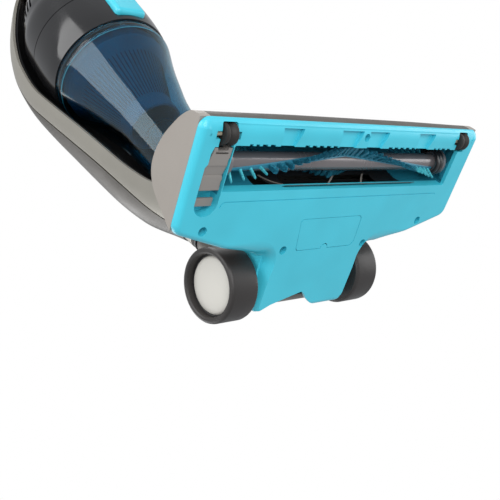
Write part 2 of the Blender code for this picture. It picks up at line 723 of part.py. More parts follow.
def make_wheels():
    """Rear wheels: a soft tyre with a deep recess, and a pale hub disc set into it."""
    for side, word in ((-1, "left"), (1, "right")):
        face = side * WHEEL_OUT
        centre = (0, 0, WHEEL_R)

        def at(depth):
            return face - side * depth
        tyre = [(HUB_R + 2.2, at(0)), (WHEEL_R - 1.6, at(0.3)), (WHEEL_R, at(2.2)), (WHEEL_R, at(WHEEL_W - 2.0)),
                (WHEEL_R - 1.8, at(WHEEL_W)), (8.0, at(WHEEL_W)), (8.0, at(WHEEL_W - 4)),
                (HUB_R, at(WHEEL_W - 4)), (HUB_R, at(1.2))]
        hub = [(0, at(3.8)), (12.0, at(4.1)), (HUB_R - 1.4, at(5.0)), (HUB_R - 0.4, at(6.0)),
               (HUB_R - 0.4, at(8.0)), (7.0, at(8.0)), (7.0, at(WHEEL_W - 1)), (AXLE_R + 0.3, at(WHEEL_W - 1)),
               (AXLE_R + 0.3, at(8.4)), (0, at(8.4))]
        if side < 0:
            tyre, hub = tyre[::-1], hub[::-1]
        hang(turned(f"tyre_{word}", tyre, centre, "X", 24, closed=True), HEAD, "rubber", centre)
        hang(turned(f"hub_{word}", hub, centre, "X", 24), HEAD, "hub_white", centre)
        start = min(side * (BARREL_HALF - 6), side * (WHEEL_OUT - 9.2))
        length = WHEEL_OUT - 9.2 - (BARREL_HALF - 6)
        hang(rod(f"axle_{word}", AXLE_R, (start, 0, WHEEL_R), length, "X", 20), HEAD, "steel", centre)


# ---- neck and frame -----------------------------------------------------------------------
def circle3(cx, cv, w, rx, rv=None, steps=24):
    return [(x, v, w) for x, v in ellipse(cx, cv, rx, rx if rv is None else rv, steps)]


def swept(name, path, rx, rn, steps=16):
    """An oval bar along a path of (v, w) points in the middle plane."""
    rows = []
    for i, (v, w) in enumerate(path):
        v0, w0 = path[max(i - 1, 0)]
        v1, w1 = path[min(i + 1, len(path) - 1)]
        span = math.hypot(v1 - v0, w1 - w0)
        nv, nw = (w1 - w0) / span, -(v1 - v0) / span
        rows.append([(rx * math.cos(a), v + nv * rn * math.sin(a), w + nw * rn * math.sin(a))
                     for a in (2 * math.pi * k / steps for k in range(steps))])
    return loft(name, rows)


def make_neck():
    """Knuckle on the axle that carries the air path up to the swivel."""
    ends = BARREL_HALF
    neck = rod("neck", BARREL_R, (-ends, 0, 0), 2 * ends, "X", 28)
    top = COLLAR_W - 1.0
    rows = [circle3(0, 2.0, 2.0, 30.0, 14.0), circle3(0, 7.5, 18.0, 25.5, 16.0),
            circle3(0, 14.5, 34.0, 21.5, 17.5), circle3(0, 22.0, 50.0, 19.6, 18.8),
            circle3(0, COLLAR_V, top - 6, 19.0, 19.0), circle3(0, COLLAR_V, top, 19.0, 19.0)]
    stem = loft("stem", rows)
    bore_rows = [circle3(0, 0.0, 0.0, 20.0, 12.0), circle3(0, 6.5, 18.0, 18.0, 12.5),
                 circle3(0, 14.0, 34.0, 16.0, 13.5), circle3(0, 22.0, 50.0, 15.0, 14.5),
                 circle3(0, COLLAR_V, top - 6, 15.0, 15.0), circle3(0, COLLAR_V, top + 5, 15.0, 15.0)]
    bore = loft("bore", bore_rows)
    neck = join(neck, stem)
    chamber = rod("chamber", BORE_R, (6 - ends, 0, 0), 2 * (ends - 6), "X", 24)
    sector = [(0, 0)] + [(30 * math.cos(math.radians(a)), 30 * math.sin(math.radians(a)))
                         for a in range(140, 271, 10)]
    window = side_plate("window", [sector], 6 - ends, ends - 6)
    neck = cut(neck, bore, chamber, window)
    neck = cut(neck, rod("axle_hole", AXLE_R + GAP, (-60, 0, 0), 120, "X", 20))
    hang(neck, BODY, "silver")


def make_swivel():
    """Black ring the frame turns on."""
    ring = turned("swivel_ring", [(COLLAR_R, 5.0), (COLLAR_R, 0.0), (15.2, 0.0), (15.2, 5.0)],
                  (0, COLLAR_V, COLLAR_W), "Z", 24, closed=True)
    hang(ring, BODY, "black", (0, COLLAR_V, COLLAR_W))


# Frame stations up the body: w, half width, front edge v, band's rear edge v, rear v.
FRAME = [
    (88.0, 22.0, 8.0, 36.0, 50.5), (100.0, 24.0, 9.0, 41.5, 57.0), (115.0, 27.0, 17.5, 45.0, 65.5),
    (130.0, 30.3, 26.0, 46.5, 72.3), (155.0, 35.0, 32.5, 48.7, 79.0), (181.0, 39.3, 36.5, 52.0, 83.0),
    (211.0, 44.2, 41.0, 57.0, 86.3), (245.0, 49.3, 47.2, 63.0, 89.5), (272.0, 51.8, 51.5, 68.0, 90.5),
    (298.0, 52.3, 49.0, 68.0, 88.5), (313.0, 51.0, 44.0, 64.0, 85.0), (325.0, 48.5, 39.5, 59.0, 80.5),
    (338.0, 44.0, 34.5, 53.0, 73.5), (356.0, 35.5, 29.0, 44.5, 61.5), (374.0, 24.0, 25.0, 36.5, 50.0),
    (392.0, 16.8, 23.0, 33.0, 45.3),
]
SQUARE = 0.86
SOCKET_R = 6.4
SOCKET_W = 208.0
SOCKET_V = 83.4        # rear end of the charging socket's collar starts here


def frame_point(station, angle, inset=0.0):
    """Point of the frame's outer surface at an angle from straight back."""
    w, half, front, _, rear = station
    c, s = math.cos(angle), math.sin(angle)
    x = (half - inset) * math.copysign(abs(s) ** SQUARE, s)
    return (x, front + (rear - inset - front) * abs(c) ** SQUARE, w)


def band_angle(station):
    w, half, front, band, rear = station
    return math.acos(min(0.98, ((band - front) / (rear - front)) ** (1 / SQUARE)))


def frame_rows(low, high, inset, count, stations=None):
    """Rows of points between two fractions of the way from straight back to the front edge."""
    rows = []
    for station in stations or FRAME:
        edge = band_angle(station)
        row = []
        for i in range(count):
            t = mix(low, high, i / (count - 1))
            size = abs(t)
            angle = edge * size if size <= 1 else mix(edge, math.pi / 2, size - 1)
            row.append(frame_point(station, math.copysign(angle, t), inset))
        rows.append(row)
    return rows


def foot_rows(grow=0.0):
    return [circle3(0, COLLAR_V, COLLAR_W + 5.4 - grow, 20.6 + grow),
            circle3(0, 27.6, 84.0, 22.4 + grow), circle3(0, 25.0, 94.0, 24.8 + grow, 26.0 + grow),
            circle3(0, 20.0, NOSE_W - 2.2 + grow, 26.0 + grow, 31.0 + grow)]


def make_frame():
    """Dark rear shell with its socket for the handle tube, silver rim with its foot, black liner."""
    shell = skin("frame_shell", frame_rows(-0.985, 0.985, 0.0, 13), WALL)
    sleeve = rod("sleeve", SLEEVE_R, (0, TUBE_V, SLEEVE_W[0]), SLEEVE_W[1] - SLEEVE_W[0], "Z", 24)
    shell = cut(join(shell, sleeve), loft("foot_room", foot_rows(GAP)))
    shell = cut(shell, rod("tube_seat", TUBE_R + 0.25, (0, TUBE_V, SLEEVE_W[0] - 5), 60, "Z", 24))
    shell = cut(shell, box("release_seat", (-6.5, 40, 398), (6.5, 60, 413), 1.0, 1))
    shell = cut(shell, rod("socket_seat", SOCKET_R + GAP, (0, SOCKET_V - 14, SOCKET_W), 30, "Y", 20))
    hang(shell, BODY, "dark_grey")
    rim = loft("frame_rim", foot_rows())
    upper = [s for s in FRAME if s[0] >= 99.0]
    for side in (-1, 1):
        rows = frame_rows(side * 1.015, side * 2.0, 0.0, 4, upper)
        rim = join(rim, skin("band", rows, WALL, flip=side < 0))
    hole_rows = [circle3(0, COLLAR_V, COLLAR_W, 17.0), circle3(0, 27.2, 84.0, 18.4, 18.2),
                 circle3(0, 23.0, 94.0, 20.5, 21.0), circle3(0, 17.0, NOSE_W, 22.5, 24.5)]
    clear_sleeve = rod("sleeve", SLEEVE_R + GAP + 0.2, (0, TUBE_V, SLEEVE_W[0] - 1), 60, "Z", 24)
    hang(cut(rim, loft("foot_hole", hole_rows), clear_sleeve), BODY, "silver")
    inner = [s for s in FRAME if 104.0 < s[0] < 375]
    liner = skin("frame_liner", frame_rows(-0.93, 0.93, WALL + GAP, 9, inner), 1.4)
    liner = cut(liner, rod("socket_seat", SOCKET_R + RUN, (0, SOCKET_V - 24, SOCKET_W), 40, "Y", 20))
    hang(liner, BODY, "black")


def make_duct():
    """Bent air pipe from the swivel to the hand unit's nose."""
    def pipe(radius, low, high):
        return [circle3(0, COLLAR_V, low, radius), circle3(0, 27.0, 84.0, radius),
                circle3(0, 20.0, 93.0, radius), circle3(0, 15.5, high, radius)]
    duct = loft("air_duct", pipe(14.6, COLLAR_W + 1.0, 104.0))
    duct = cut(duct, loft("duct_bore", pipe(13.0, COLLAR_W - 2.0, 106.0)))
    hang(duct, BODY, "black")


def make_charging():
    bore = SOCKET_R - 1.8
    socket = turned("charging_socket", [(SOCKET_R, 3.0), (SOCKET_R, -5.0), (bore, -5.0), (bore, 3.0)],
                    (0, SOCKET_V, SOCKET_W), "Y", 20, closed=True)
    hang(socket, BODY, "black")


# ---- handle -------------------------------------------------------------------------------
GRIP_PATH = [(29, 876), (29, 900), (30, 925), (33.5, 950), (39.5, 975), (47.5, 1000), (57, 1022), (61, 1030)]


def offset_path(path, distance):
    """The path moved toward its rear side."""
    made = []
    for i, (v, w) in enumerate(path):
        v0, w0 = path[max(i - 1, 0)]
        v1, w1 = path[min(i + 1, len(path) - 1)]
        span = math.hypot(v1 - v0, w1 - w0)
        made.append((v + (w1 - w0) / span * distance, w - (v1 - v0) / span * distance))
    return made


def make_handle():
    """Tube, hollow grip with its soft pad, the power slide and the release button."""
    low, high = TUBE_W
    tube = turned("handle_tube", [(TUBE_R, high), (TUBE_R, low), (TUBE_R - TUBE_T, low),
                                  (TUBE_R - TUBE_T, high)], (0, TUBE_V, 0), "Z", 24, closed=True)
    hang(tube, BODY, "gunmetal")
    grip = swept("handle_grip", GRIP_PATH, GRIP_RX, GRIP_RN, 20)
    grip = round_edges(grip, 1.5, 1, 50)
    hollow = swept("hollow", GRIP_PATH[1:-1], GRIP_RX - GRIP_WALL, GRIP_RN - GRIP_WALL, 16)
    seat = rod("seat", TUBE_R + 0.25, (0, TUBE_V, low), high + GAP - low, "Z", 24)
    pad_path = offset_path(GRIP_PATH[2:-1], GRIP_RN - 0.6)
    pad_seat = swept("pad_seat", pad_path, 8.0 + GAP, 1.8 + GAP, 20)
    slot = box("slot", (-5.5, TUBE_V - GRIP_RN - 4, 906), (5.5, TUBE_V - GRIP_RN + 2.4, 938), 1.0, 1)
    grip = cut(grip, hollow, seat, pad_seat, slot)
    hang(grip, BODY, "dark_grey")
    pad = swept("grip_pad", pad_path, 8.0, 1.8, 16)
    trim = [box("trim", (-20, 0, 900), (20, 100, 925.8)), box("trim", (-20, 0, 1012), (20, 120, 1060))]
    hang(cut(pad, *trim), BODY, "rubber")
    front = TUBE_V - GRIP_RN
    slide = box("power_slide", (-5.0, front - 2.2, 908), (5.0, front + 1.9, 926), 0.8, 2)
    hang(slide, BODY, "cyan", (0, front, 917))
    button = box("release_button", (-6.0, 44.7, 398.5), (6.0, 48.2, 412.5), 0.8, 1)
    hang(button, BODY, "warm_grey", (0, 45, 405.5))


# ---- hand unit ----------------------------------------------------------------------------
# Cup's outer wall as (radius, w) from its rim down.
CUP_WALL_LINE = [(CUP_R, CUP_W), (CUP_R - 0.6, CUP_W - 3.0), (42.4, 222.0), (36.2, 200.0), (30.6, 175.0),
                 (26.2, 128.0), (24.8, 112.0), (NOSE_R, NOSE_W)]

# Housing stations up the body: w, front v, rear v, half width.
HOUSING = [
    (SEAM_W + GAP, -33.0, 69.2, 51.1), (263.0, -34.1, 71.1, 52.6), (280.0, -34.2, 72.2, 53.2),
    (303.0, -33.4, 71.4, 52.4), (314.0, -31.6, 67.6, 49.6), (325.0, -27.5, 59.5, 46.0), (340.0, -17.5, 48.5, 38.5),
    (355.0, -5.0, 38.0, 28.0), (366.0, 3.0, 27.0, 17.2),
]


def housing_rows(inset=0.0, top=None, bottom=None):
    rows = []
    for i, (w, front, rear, half) in enumerate(HOUSING):
        if top is not None and i == len(HOUSING) - 1:
            w = top
        if bottom is not None and i == 0:
            w = bottom
        rows.append(circle3(0, (front + rear) / 2, w, half - inset, (rear - front) / 2 - inset, 24))
    return rows


def leaned(solid):
    """Leans a hand unit's solid back, level by level, from the cup's nose up."""
    shear = Matrix.Identity(4)
    shear[1][2] = CUP_LEAN
    shear[1][3] = -CUP_LEAN * NOSE_W * MM
    solid.data.transform(shear)
    return solid


def axis_v(w):
    """Where the hand unit's axis is at a height."""
    return CUP_V + CUP_LEAN * (w - NOSE_W)


def make_cup():
    """Clear dust cup, its collar, the cyan cyclone cone and the filters inside it."""
    outer = CUP_WALL_LINE
    inner = [(r - CUP_WALL, w) for r, w in outer[:-1]] + [(NOSE_R - 1.6, NOSE_W + 3.0)]
    bore = 13.5
    profile = outer + [(bore, NOSE_W), (bore, NOSE_W + 3.0)] + inner[::-1]
    cup = turned("dust_cup", profile, (0, CUP_V, 0), "Z", 28, closed=True)
    hang(leaned(cup), BODY, "clear_blue")
    ring = turned("cup_collar", [(CUP_R, SEAM_W), (CUP_R, CUP_W + GAP), (CUP_R - 3, CUP_W + GAP),
                                 (CUP_R - 3, SEAM_W)], (0, CUP_V, 0), "Z", 32, closed=True)
    hang(leaned(ring), BODY, "clear_blue")
    pipe = turned("inlet_pipe", [(13.0, 168.0), (13.2, NOSE_W + 0.6), (11.4, NOSE_W + 0.6), (11.2, 168.0)],
                  (0, CUP_V, 0), "Z", 24, closed=True)
    hang(leaned(pipe), BODY, "black")
    cone = turned("cyclone_cone", [(44.0, SEAM_W - 1), (44.0, 240.0), (36.5, 231.0), (22.5, 192.0),
                                   (22.5, 178.0), (20.9, 178.0), (20.9, 192.6), (34.9, 231.6), (42.4, 241.0),
                                   (42.4, SEAM_W - 1)], (0, CUP_V, 0), "Z", 32, closed=True)
    holes = []
    for i in range(8):
        peg = rod("peg", 4.0, (0, 0, 212), 44, "X", 8)
        turn = Matrix.Rotation(math.radians(45 * i + 22.5), 4, "Z")
        peg.data.transform(Matrix.Translation((0, CUP_V * MM, 0)) @ turn)
        holes.append(peg)
    hang(leaned(cut(cone, group(*holes))), BODY, "filter_blue")
    flap = turned("inlet_flap", [(0, 171.5), (14.0, 170.0), (14.0, 168.6), (0, 169.6)], (0, CUP_V, 0), "Z", 20)
    hang(leaned(flap), BODY, "rubber")
    pleats = [(( 31.0 if i % 2 else 26.5) * math.cos(2 * math.pi * i / 60),
               ((31.0 if i % 2 else 26.5) * math.sin(2 * math.pi * i / 60)) + CUP_V) for i in range(60)]
    core = [(14.0 * math.cos(2 * math.pi * i / 24), 14.0 * math.sin(2 * math.pi * i / 24) + CUP_V)
            for i in range(24)]
    hang(leaned(outline("fine_filter", [pleats, core], 234.5, SEAM_W - 1.5)), BODY, "white")


def make_housing():
    """Motor housing with its button, vents, motor, fan, cells, board and grip."""
    middle = axis_v(285)
    housing = loft("motor_housing", housing_rows())
    room = housing_rows(WALL, 362.5, SEAM_W - 5)
    button_hole = box("button_hole", (-14.5, -50, 255.5), (14.5, -21.0, 279.5), 2.0, 2)
    vents = [box("vent", (side * 60 - 34, middle - 13.9 + 4.7 * i, 317.3), (side * 60 + 34, middle - 11.5 + 4.7 * i, 331.7))
             for side in (-1, 1) for i in range(6)]
    housing = cut(housing, loft("room", room), button_hole, group(*vents))
    hang(housing, BODY, "gunmetal")
    button = box("cup_release_button", (-14.0, -37.2, 256), (14.0, -27.5, 279), 2.0, 2)
    hang(button, BODY, "cyan", (0, -34, 267.5))
    motor = turned("fan_motor", [(0, 322.0), (9.0, 322.0), (9.0, 317.0), (24.0, 316.0), (27.0, 313.0),
                                 (27.0, 292.0), (0, 292.0)], (0, middle, 0), "Z", 24)
    hang(motor, BODY, "steel")
    hub = turned("impeller", [(0, 291.6), (10.0, 291.6), (14.0, 289.5), (32.0, 288.5), (32.0, 287.0),
                              (0, 287.0)], (0, middle, 0), "Z", 24)
    blades = []
    for i in range(7):
        blade = box("blade", (11.0, -0.6, 278.5), (31.0, 0.6, 287.4))
        blade.data.transform(Matrix.Translation((0, middle * MM, 0)) @ Matrix.Rotation(2 * math.pi * i / 7, 4, "Z"))
        blades.append(blade)
    hang(join(hub, group(*blades)), BODY, "silver", (0, middle, 285))
    pack = box("battery_pack", (-20, 2, 330.5), (20, 24, 334.5))
    cells = [rod("cell", 8.8, (-24.0, v, 332.5), 48, "X", 16) for v in (5.5, 24.0)]
    hang(join(pack, *cells), BODY, "cell")
    hang(box("control_board", (-16, 4, 347.5), (16, 28, 349)), BODY, "board")


HAND_PATH = [(-20, 312), (-40, 326), (-54, 346), (-59, 372), (-55, 398), (-45, 418), (-30, 429),
             (-14, 427), (-5, 414), (-3, 392), (8, 358)]


def make_hand_grip():
    """Loop grip of the hand unit, hollow only in its bars' feet."""
    grip = swept("hand_grip", HAND_PATH, 13.0, 9.5, 16)
    room = loft("clear", [[(x, v, w) for x, v, w in row] for row in housing_rows(-GAP, 366 + GAP)])
    switch_hole = box("switch_hole", (-6.3, -46, 434.2), (6.3, -20, 450))
    grip = cut(grip, room, switch_hole)
    hang(grip, BODY, "dark_grey")
    switch = box("hand_switch", (-6.0, -36, 436.0), (6.0, -22, 441.0), 0.8, 2)
    hang(switch, BODY, "cyan", (0, -29, 437))


def centre_on_origin():
    """Moves the whole assembly so that the origin is under the middle of its box."""
    bpy.context.view_layer.update()
    ys = [(obj.matrix_world @ vert.co).y for obj in PARTS.objects if obj.type == "MESH"
          for vert in obj.data.vertices]
    HEAD.location.y = -(min(ys) + max(ys)) / 2


# ---- build --------------------------------------------------------------------------------
clear_scene()
PARTS = collection("stick_vacuum")
HEAD = frame("head_frame")
BODY = frame("body_frame", HEAD, (0, 0, WHEEL_R), LEAN)

make_base_shell()
make_top_cover()
make_leds()
make_end_caps()
make_access_cover()
make_tunnel()
make_throat()
make_duct_cover()
make_latch()
make_brush()
make_drive()
make_rollers()
make_wheels()
make_neck()
make_swivel()
make_frame()
make_duct()
make_charging()
make_handle()
make_cup()
make_housing()
make_hand_grip()
centre_on_origin()
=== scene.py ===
"""Cordless stick vacuum with a powered brush head: the finished surfaces around its fixed frame.

Meshes are made in millimetres in one of two workshop frames, and then placed in the shared frame.
One is the head's: x across, y back from the rear wheels' axle line, z up from the floor. The other is
the leaning body's: x across, v back, w up the body, both from the axle line.
"""

from __future__ import annotations

import logging
import math
import random
from dataclasses import dataclass, field
from enum import Enum
from typing import Iterable, Sequence

import bmesh
import bpy
from mathutils import Matrix, Vector


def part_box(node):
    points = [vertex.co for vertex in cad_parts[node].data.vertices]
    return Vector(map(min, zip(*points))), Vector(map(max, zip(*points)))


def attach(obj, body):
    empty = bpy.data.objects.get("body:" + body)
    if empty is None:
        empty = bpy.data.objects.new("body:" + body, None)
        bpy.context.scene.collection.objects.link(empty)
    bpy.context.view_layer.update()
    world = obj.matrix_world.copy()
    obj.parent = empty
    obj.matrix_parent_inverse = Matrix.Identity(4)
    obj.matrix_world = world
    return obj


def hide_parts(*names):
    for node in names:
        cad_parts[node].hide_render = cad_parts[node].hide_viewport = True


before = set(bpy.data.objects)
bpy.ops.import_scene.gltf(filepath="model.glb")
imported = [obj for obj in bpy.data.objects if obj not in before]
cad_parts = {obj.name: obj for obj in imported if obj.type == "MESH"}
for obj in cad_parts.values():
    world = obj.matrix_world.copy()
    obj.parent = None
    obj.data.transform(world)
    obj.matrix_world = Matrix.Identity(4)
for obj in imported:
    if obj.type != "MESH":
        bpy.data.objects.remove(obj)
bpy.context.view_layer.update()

LOG = logging.getLogger("stick_vacuum")
MM = 0.001
LEAN = math.radians(15.0)

# sizes that several sub-assemblies share, in millimetres
BRUSH_Y, BRUSH_Z = -91.5, 15.7
ROLLER_X, ROLLER_Y, ROLLER_R = 111.0, -111.6, 6.3
DUCT_HALF = 47.0
COLLAR_V, COLLAR_W = 28.0, 70.0
TUBE_V, TUBE_R = 29.0, 13.5
NOSE_W, RIM_W, SEAM_W = 106.0, 244.5, 251.0

Point = tuple[float, float, float]
Flat = tuple[float, float]
Loop = Sequence[Flat]
Object = bpy.types.Object
Material = bpy.types.Material


def middle_of(node: str) -> Vector:
    """Middle of a frame node's box, in metres."""
    low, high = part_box(node)
    return (Vector(low) + Vector(high)) / 2


AXLE = Vector((0.0, middle_of("tyre_left").y, middle_of("tyre_left").z))
HEAD_PLACE = Matrix.Translation((0.0, AXLE.y, 0.0)) @ Matrix.Scale(MM, 4)
BODY_PLACE = Matrix.Translation(AXLE) @ Matrix.Rotation(LEAN, 4, "X") @ Matrix.Scale(MM, 4)


# ---- finishes -----------------------------------------------------------------------------
COAT_ROUGHNESS = 0.08
GRAIN_DEPTH = 0.0004
TEXTURE_LOW, TEXTURE_HIGH = 0.3, 0.7
PLASTIC_IOR = 1.5


class Grain(Enum):
    """How a moulded or machined surface is textured."""

    POLISHED = "polished"
    SATIN = "satin"
    SPARK = "spark"
    BRUSHED = "brushed"


GRAIN_BUMP = {Grain.POLISHED: 0.02, Grain.SATIN: 0.05, Grain.SPARK: 0.16, Grain.BRUSHED: 0.08}
GRAIN_SCALE = {Grain.POLISHED: 260.0, Grain.SATIN: 900.0, Grain.SPARK: 1500.0, Grain.BRUSHED: 1400.0}


class Nodes:
    """A material's node tree with short ways to add and link nodes."""

    def __init__(self, name: str) -> None:
        """Starts an empty material with a Principled shader.

        Args:
            name: the material's name.
        """
        self.material = bpy.data.materials.new(name)
        self.material.use_nodes = True
        self.tree = self.material.node_tree
        self.tree.nodes.clear()
        self.shader = self.tree.nodes.new("ShaderNodeBsdfPrincipled")
        self.output = self.tree.nodes.new("ShaderNodeOutputMaterial")
        self.link(self.shader, "BSDF", self.output, "Surface")

    def add(self, kind: str, **values: object) -> bpy.types.Node:
        """Adds a node.

        Args:
            kind: the node's type.
            values: its properties, or its inputs by name with spaces as underscores.

        Returns:
            The new node.
        """
        node = self.tree.nodes.new(kind)
        for key, value in values.items():
            if hasattr(node, key):
                setattr(node, key, value)
            else:
                node.inputs[key.replace("_", " ")].default_value = value
        return node

    def link(self, source: bpy.types.Node, out: str | int, target: bpy.types.Node, into: str | int) -> None:
        """Links one node's output to another's input."""
        self.tree.links.new(source.outputs[out], target.inputs[into])

    def place(self, stretch: Point = (1.0, 1.0, 1.0)) -> bpy.types.Node:
        """Object coordinates, stretched.

        Args:
            stretch: scale along each axis.

        Returns:
            The Mapping node.
        """
        source = self.add("ShaderNodeTexCoord")
        mapping = self.add("ShaderNodeMapping")
        mapping.inputs["Scale"].default_value = stretch
        self.link(source, "Object", mapping, "Vector")
        return mapping

    def noise(self, mapping: bpy.types.Node, scale: float, detail: float = 3.0) -> bpy.types.Node:
        """A noise texture on a mapping."""
        node = self.add("ShaderNodeTexNoise")
        node.inputs["Scale"].default_value = scale
        node.inputs["Detail"].default_value = detail
        self.link(mapping, "Vector", node, "Vector")
        return node

    def spread(self, source: bpy.types.Node, out: str, low: float, high: float) -> bpy.types.Node:
        """Maps a texture's usual values onto a range.

        Args:
            source: the texture node.
            out: its output's name.
            low: value at the texture's low end.
            high: value at its high end.

        Returns:
            The Map Range node, whose output is Result.
        """
        node = self.add("ShaderNodeMapRange")
        node.inputs["From Min"].default_value = TEXTURE_LOW
        node.inputs["From Max"].default_value = TEXTURE_HIGH
        node.inputs["To Min"].default_value = low
        node.inputs["To Max"].default_value = high
        self.link(source, out, node, "Value")
        return node

    def blend(self, factor: bpy.types.Node, out: str, low: Sequence[float],
              high: Sequence[float]) -> bpy.types.Node:
        """Mixes two colours by a factor.

        Args:
            factor: node that gives the factor.
            out: its output's name.
            low: colour at 0.
            high: colour at 1.

        Returns:
            The Color Ramp node, whose output is Color.
        """
        ramp = self.add("ShaderNodeValToRGB")
        for stop, spot, colour in zip(ramp.color_ramp.elements, (TEXTURE_LOW, TEXTURE_HIGH), (low, high)):
            stop.position = spot
            stop.color = (*colour[:3], 1.0)
        self.link(factor, out, ramp, "Fac")
        return ramp

    def bump(self, source: bpy.types.Node, out: str, strength: float, depth: float) -> None:
        """Puts a bump of a depth in metres on the shader."""
        node = self.add("ShaderNodeBump")
        node.inputs["Strength"].default_value = strength
        node.inputs["Distance"].default_value = depth
        self.link(source, out, node, "Height")
        self.link(node, "Normal", self.shader, "Normal")


def shade(colour: Sequence[float], by: float) -> tuple[float, ...]:
    """A colour made lighter or darker by a share of itself."""
    return tuple(min(1.0, max(0.0, c * (1.0 + by))) for c in colour)


@dataclass(frozen=True)
class Surface:
    """A named procedural surface; each kind dresses its own nodes."""

    name: str

    def dress(self, nodes: Nodes) -> None:
        """Sets up the nodes."""
        raise NotImplementedError

    def material(self) -> Material:
        """The surface as a material, made once."""
        found = bpy.data.materials.get(self.name)
        if found:
            return found
        nodes = Nodes(self.name)
        self.dress(nodes)
        return nodes.material


@dataclass(frozen=True)
class Finish(Surface):
    """One moulded, lacquered, rubber or metal surface."""

    colour: tuple[float, float, float]
    roughness: float
    grain: Grain = Grain.SATIN
    metallic: float = 0.0
    coat: float = 0.0
    specular: float = 0.5
    variation: float = 0.05
    smudge: float = 0.06

    def dress(self, nodes: Nodes) -> None:
        """Colour clouds, wiped gloss and a fine grain."""
        shader = nodes.shader
        shader.inputs["Metallic"].default_value = self.metallic
        shader.inputs["Specular IOR Level"].default_value = self.specular
        shader.inputs["Coat Weight"].default_value = self.coat
        shader.inputs["Coat Roughness"].default_value = COAT_ROUGHNESS
        stretch = (1.0, 1.0, 0.03) if self.grain is Grain.BRUSHED else (1.0, 1.0, 1.0)
        broad = nodes.noise(nodes.place(), 26.0, 2.0)
        ramp = nodes.blend(broad, "Fac", shade(self.colour, -self.variation),
                           shade(self.colour, self.variation))
        nodes.link(ramp, "Color", shader, "Base Color")
        wipes = nodes.noise(nodes.place((1.0, 0.6, 0.4)), 70.0, 4.0)
        low, high = max(0.02, self.roughness - self.smudge), min(1.0, self.roughness + self.smudge)
        nodes.link(nodes.spread(wipes, "Fac", low, high), "Result", shader, "Roughness")
        fine = nodes.noise(nodes.place(stretch), GRAIN_SCALE[self.grain], 2.0)
        nodes.bump(fine, "Fac", GRAIN_BUMP[self.grain], GRAIN_DEPTH)


@dataclass(frozen=True)
class ClearPlastic(Surface):
    """Tinted clear plastic with faint scuffs."""

    colour: tuple[float, float, float]
    roughness: float = 0.04

    def dress(self, nodes: Nodes) -> None:
        """A tint and scuffs."""
        shader = nodes.shader
        shader.inputs["Transmission Weight"].default_value = 1.0
        shader.inputs["IOR"].default_value = PLASTIC_IOR
        tint = nodes.noise(nodes.place(), 18.0, 1.0)
        ramp = nodes.blend(tint, "Fac", shade(self.colour, -0.04), shade(self.colour, 0.04))
        nodes.link(ramp, "Color", shader, "Base Color")
        scuffs = nodes.noise(nodes.place((1.0, 1.0, 0.15)), 160.0, 4.0)
        nodes.link(nodes.spread(scuffs, "Fac", self.roughness * 0.6, self.roughness * 1.6), "Result",
                   shader, "Roughness")


@dataclass(frozen=True)
class Nylon(Surface):
    """Bristle bundles whose fibres mix a dark colour and a pale one by fine random noise."""

    root: tuple[float, float, float]
    tip: tuple[float, float, float]

    def dress(self, nodes: Nodes) -> None:
        """Fibres mixed between the dark colour and the pale one by fine noise."""
        fibre = nodes.noise(nodes.place(), 900.0)
        ramp = nodes.blend(fibre, "Fac", self.root, self.tip)
        nodes.link(ramp, "Color", nodes.shader, "Base Color")
        nodes.link(nodes.spread(fibre, "Fac", 0.35, 0.6), "Result", nodes.shader, "Roughness")
        nodes.bump(fibre, "Fac", 0.35, GRAIN_DEPTH)


@dataclass(frozen=True)
class Paper(Surface):
    """Pleated filter paper."""

    colour: tuple[float, float, float]

    def dress(self, nodes: Nodes) -> None:
        """Matt fibres."""
        fibre = nodes.noise(nodes.place(), 500.0, 6.0)
        ramp = nodes.blend(fibre, "Fac", shade(self.colour, -0.12), self.colour)
        nodes.link(ramp, "Color", nodes.shader, "Base Color")
        nodes.shader.inputs["Roughness"].default_value = 0.9
        nodes.bump(fibre, "Fac", 0.3, 0.0003)


CYAN = Finish("cyan_plastic", (0.050, 0.520, 0.660), 0.36, Grain.SATIN, coat=0.15)
CYAN_GLOSS = Finish("cyan_gloss", (0.055, 0.560, 0.700), 0.22, Grain.POLISHED, coat=0.3)
DEEP_BLUE = Finish("deep_blue_plastic", (0.020, 0.180, 0.270), 0.40)
# Darker copy of the cyan: on the brush tunnel it is painted shade of the cyan plastic; the rim beads take it
# as their own teal.
TEAL_AND_SHADED_CYAN = Finish("teal_plastic", (0.020, 0.230, 0.330), 0.35)
WARM_GREY = Finish("warm_grey_plastic", (0.290, 0.265, 0.238), 0.38, Grain.SPARK, variation=0.03)
PALE_GREY = Finish("pale_grey_plastic", (0.230, 0.215, 0.200), 0.36, Grain.SATIN, variation=0.03)
SILVER = Finish("champagne_silver", (0.300, 0.286, 0.250), 0.36, Grain.SPARK, metallic=0.35, variation=0.03)
DARK_SHELL = Finish("dark_shell", (0.075, 0.068, 0.058), 0.36, Grain.SPARK, metallic=0.2, variation=0.06)
BLACK = Finish("black_plastic", (0.012, 0.012, 0.013), 0.38, Grain.SATIN)
BLACK_GLOSS = Finish("black_gloss", (0.010, 0.010, 0.011), 0.14, Grain.POLISHED, coat=0.4)
GUNMETAL = Finish("gunmetal_lacquer", (0.115, 0.105, 0.092), 0.20, Grain.POLISHED, metallic=0.35, coat=0.6)
RUBBER = Finish("black_rubber", (0.022, 0.020, 0.019), 0.62, Grain.SPARK, specular=0.35)
TYRE = Finish("charcoal_tyre", (0.026, 0.023, 0.022), 0.42, Grain.SPARK, specular=0.45)
HUB = Finish("pale_hub", (0.560, 0.545, 0.500), 0.42, Grain.SATIN, variation=0.02)
STEEL = Finish("bright_steel", (0.600, 0.600, 0.610), 0.22, Grain.BRUSHED, metallic=1.0)
PLATED = Finish("plated_pin", (0.660, 0.600, 0.450), 0.30, Grain.POLISHED, metallic=0.35)
BRASS = Finish("brass", (0.600, 0.450, 0.180), 0.28, Grain.BRUSHED, metallic=1.0)
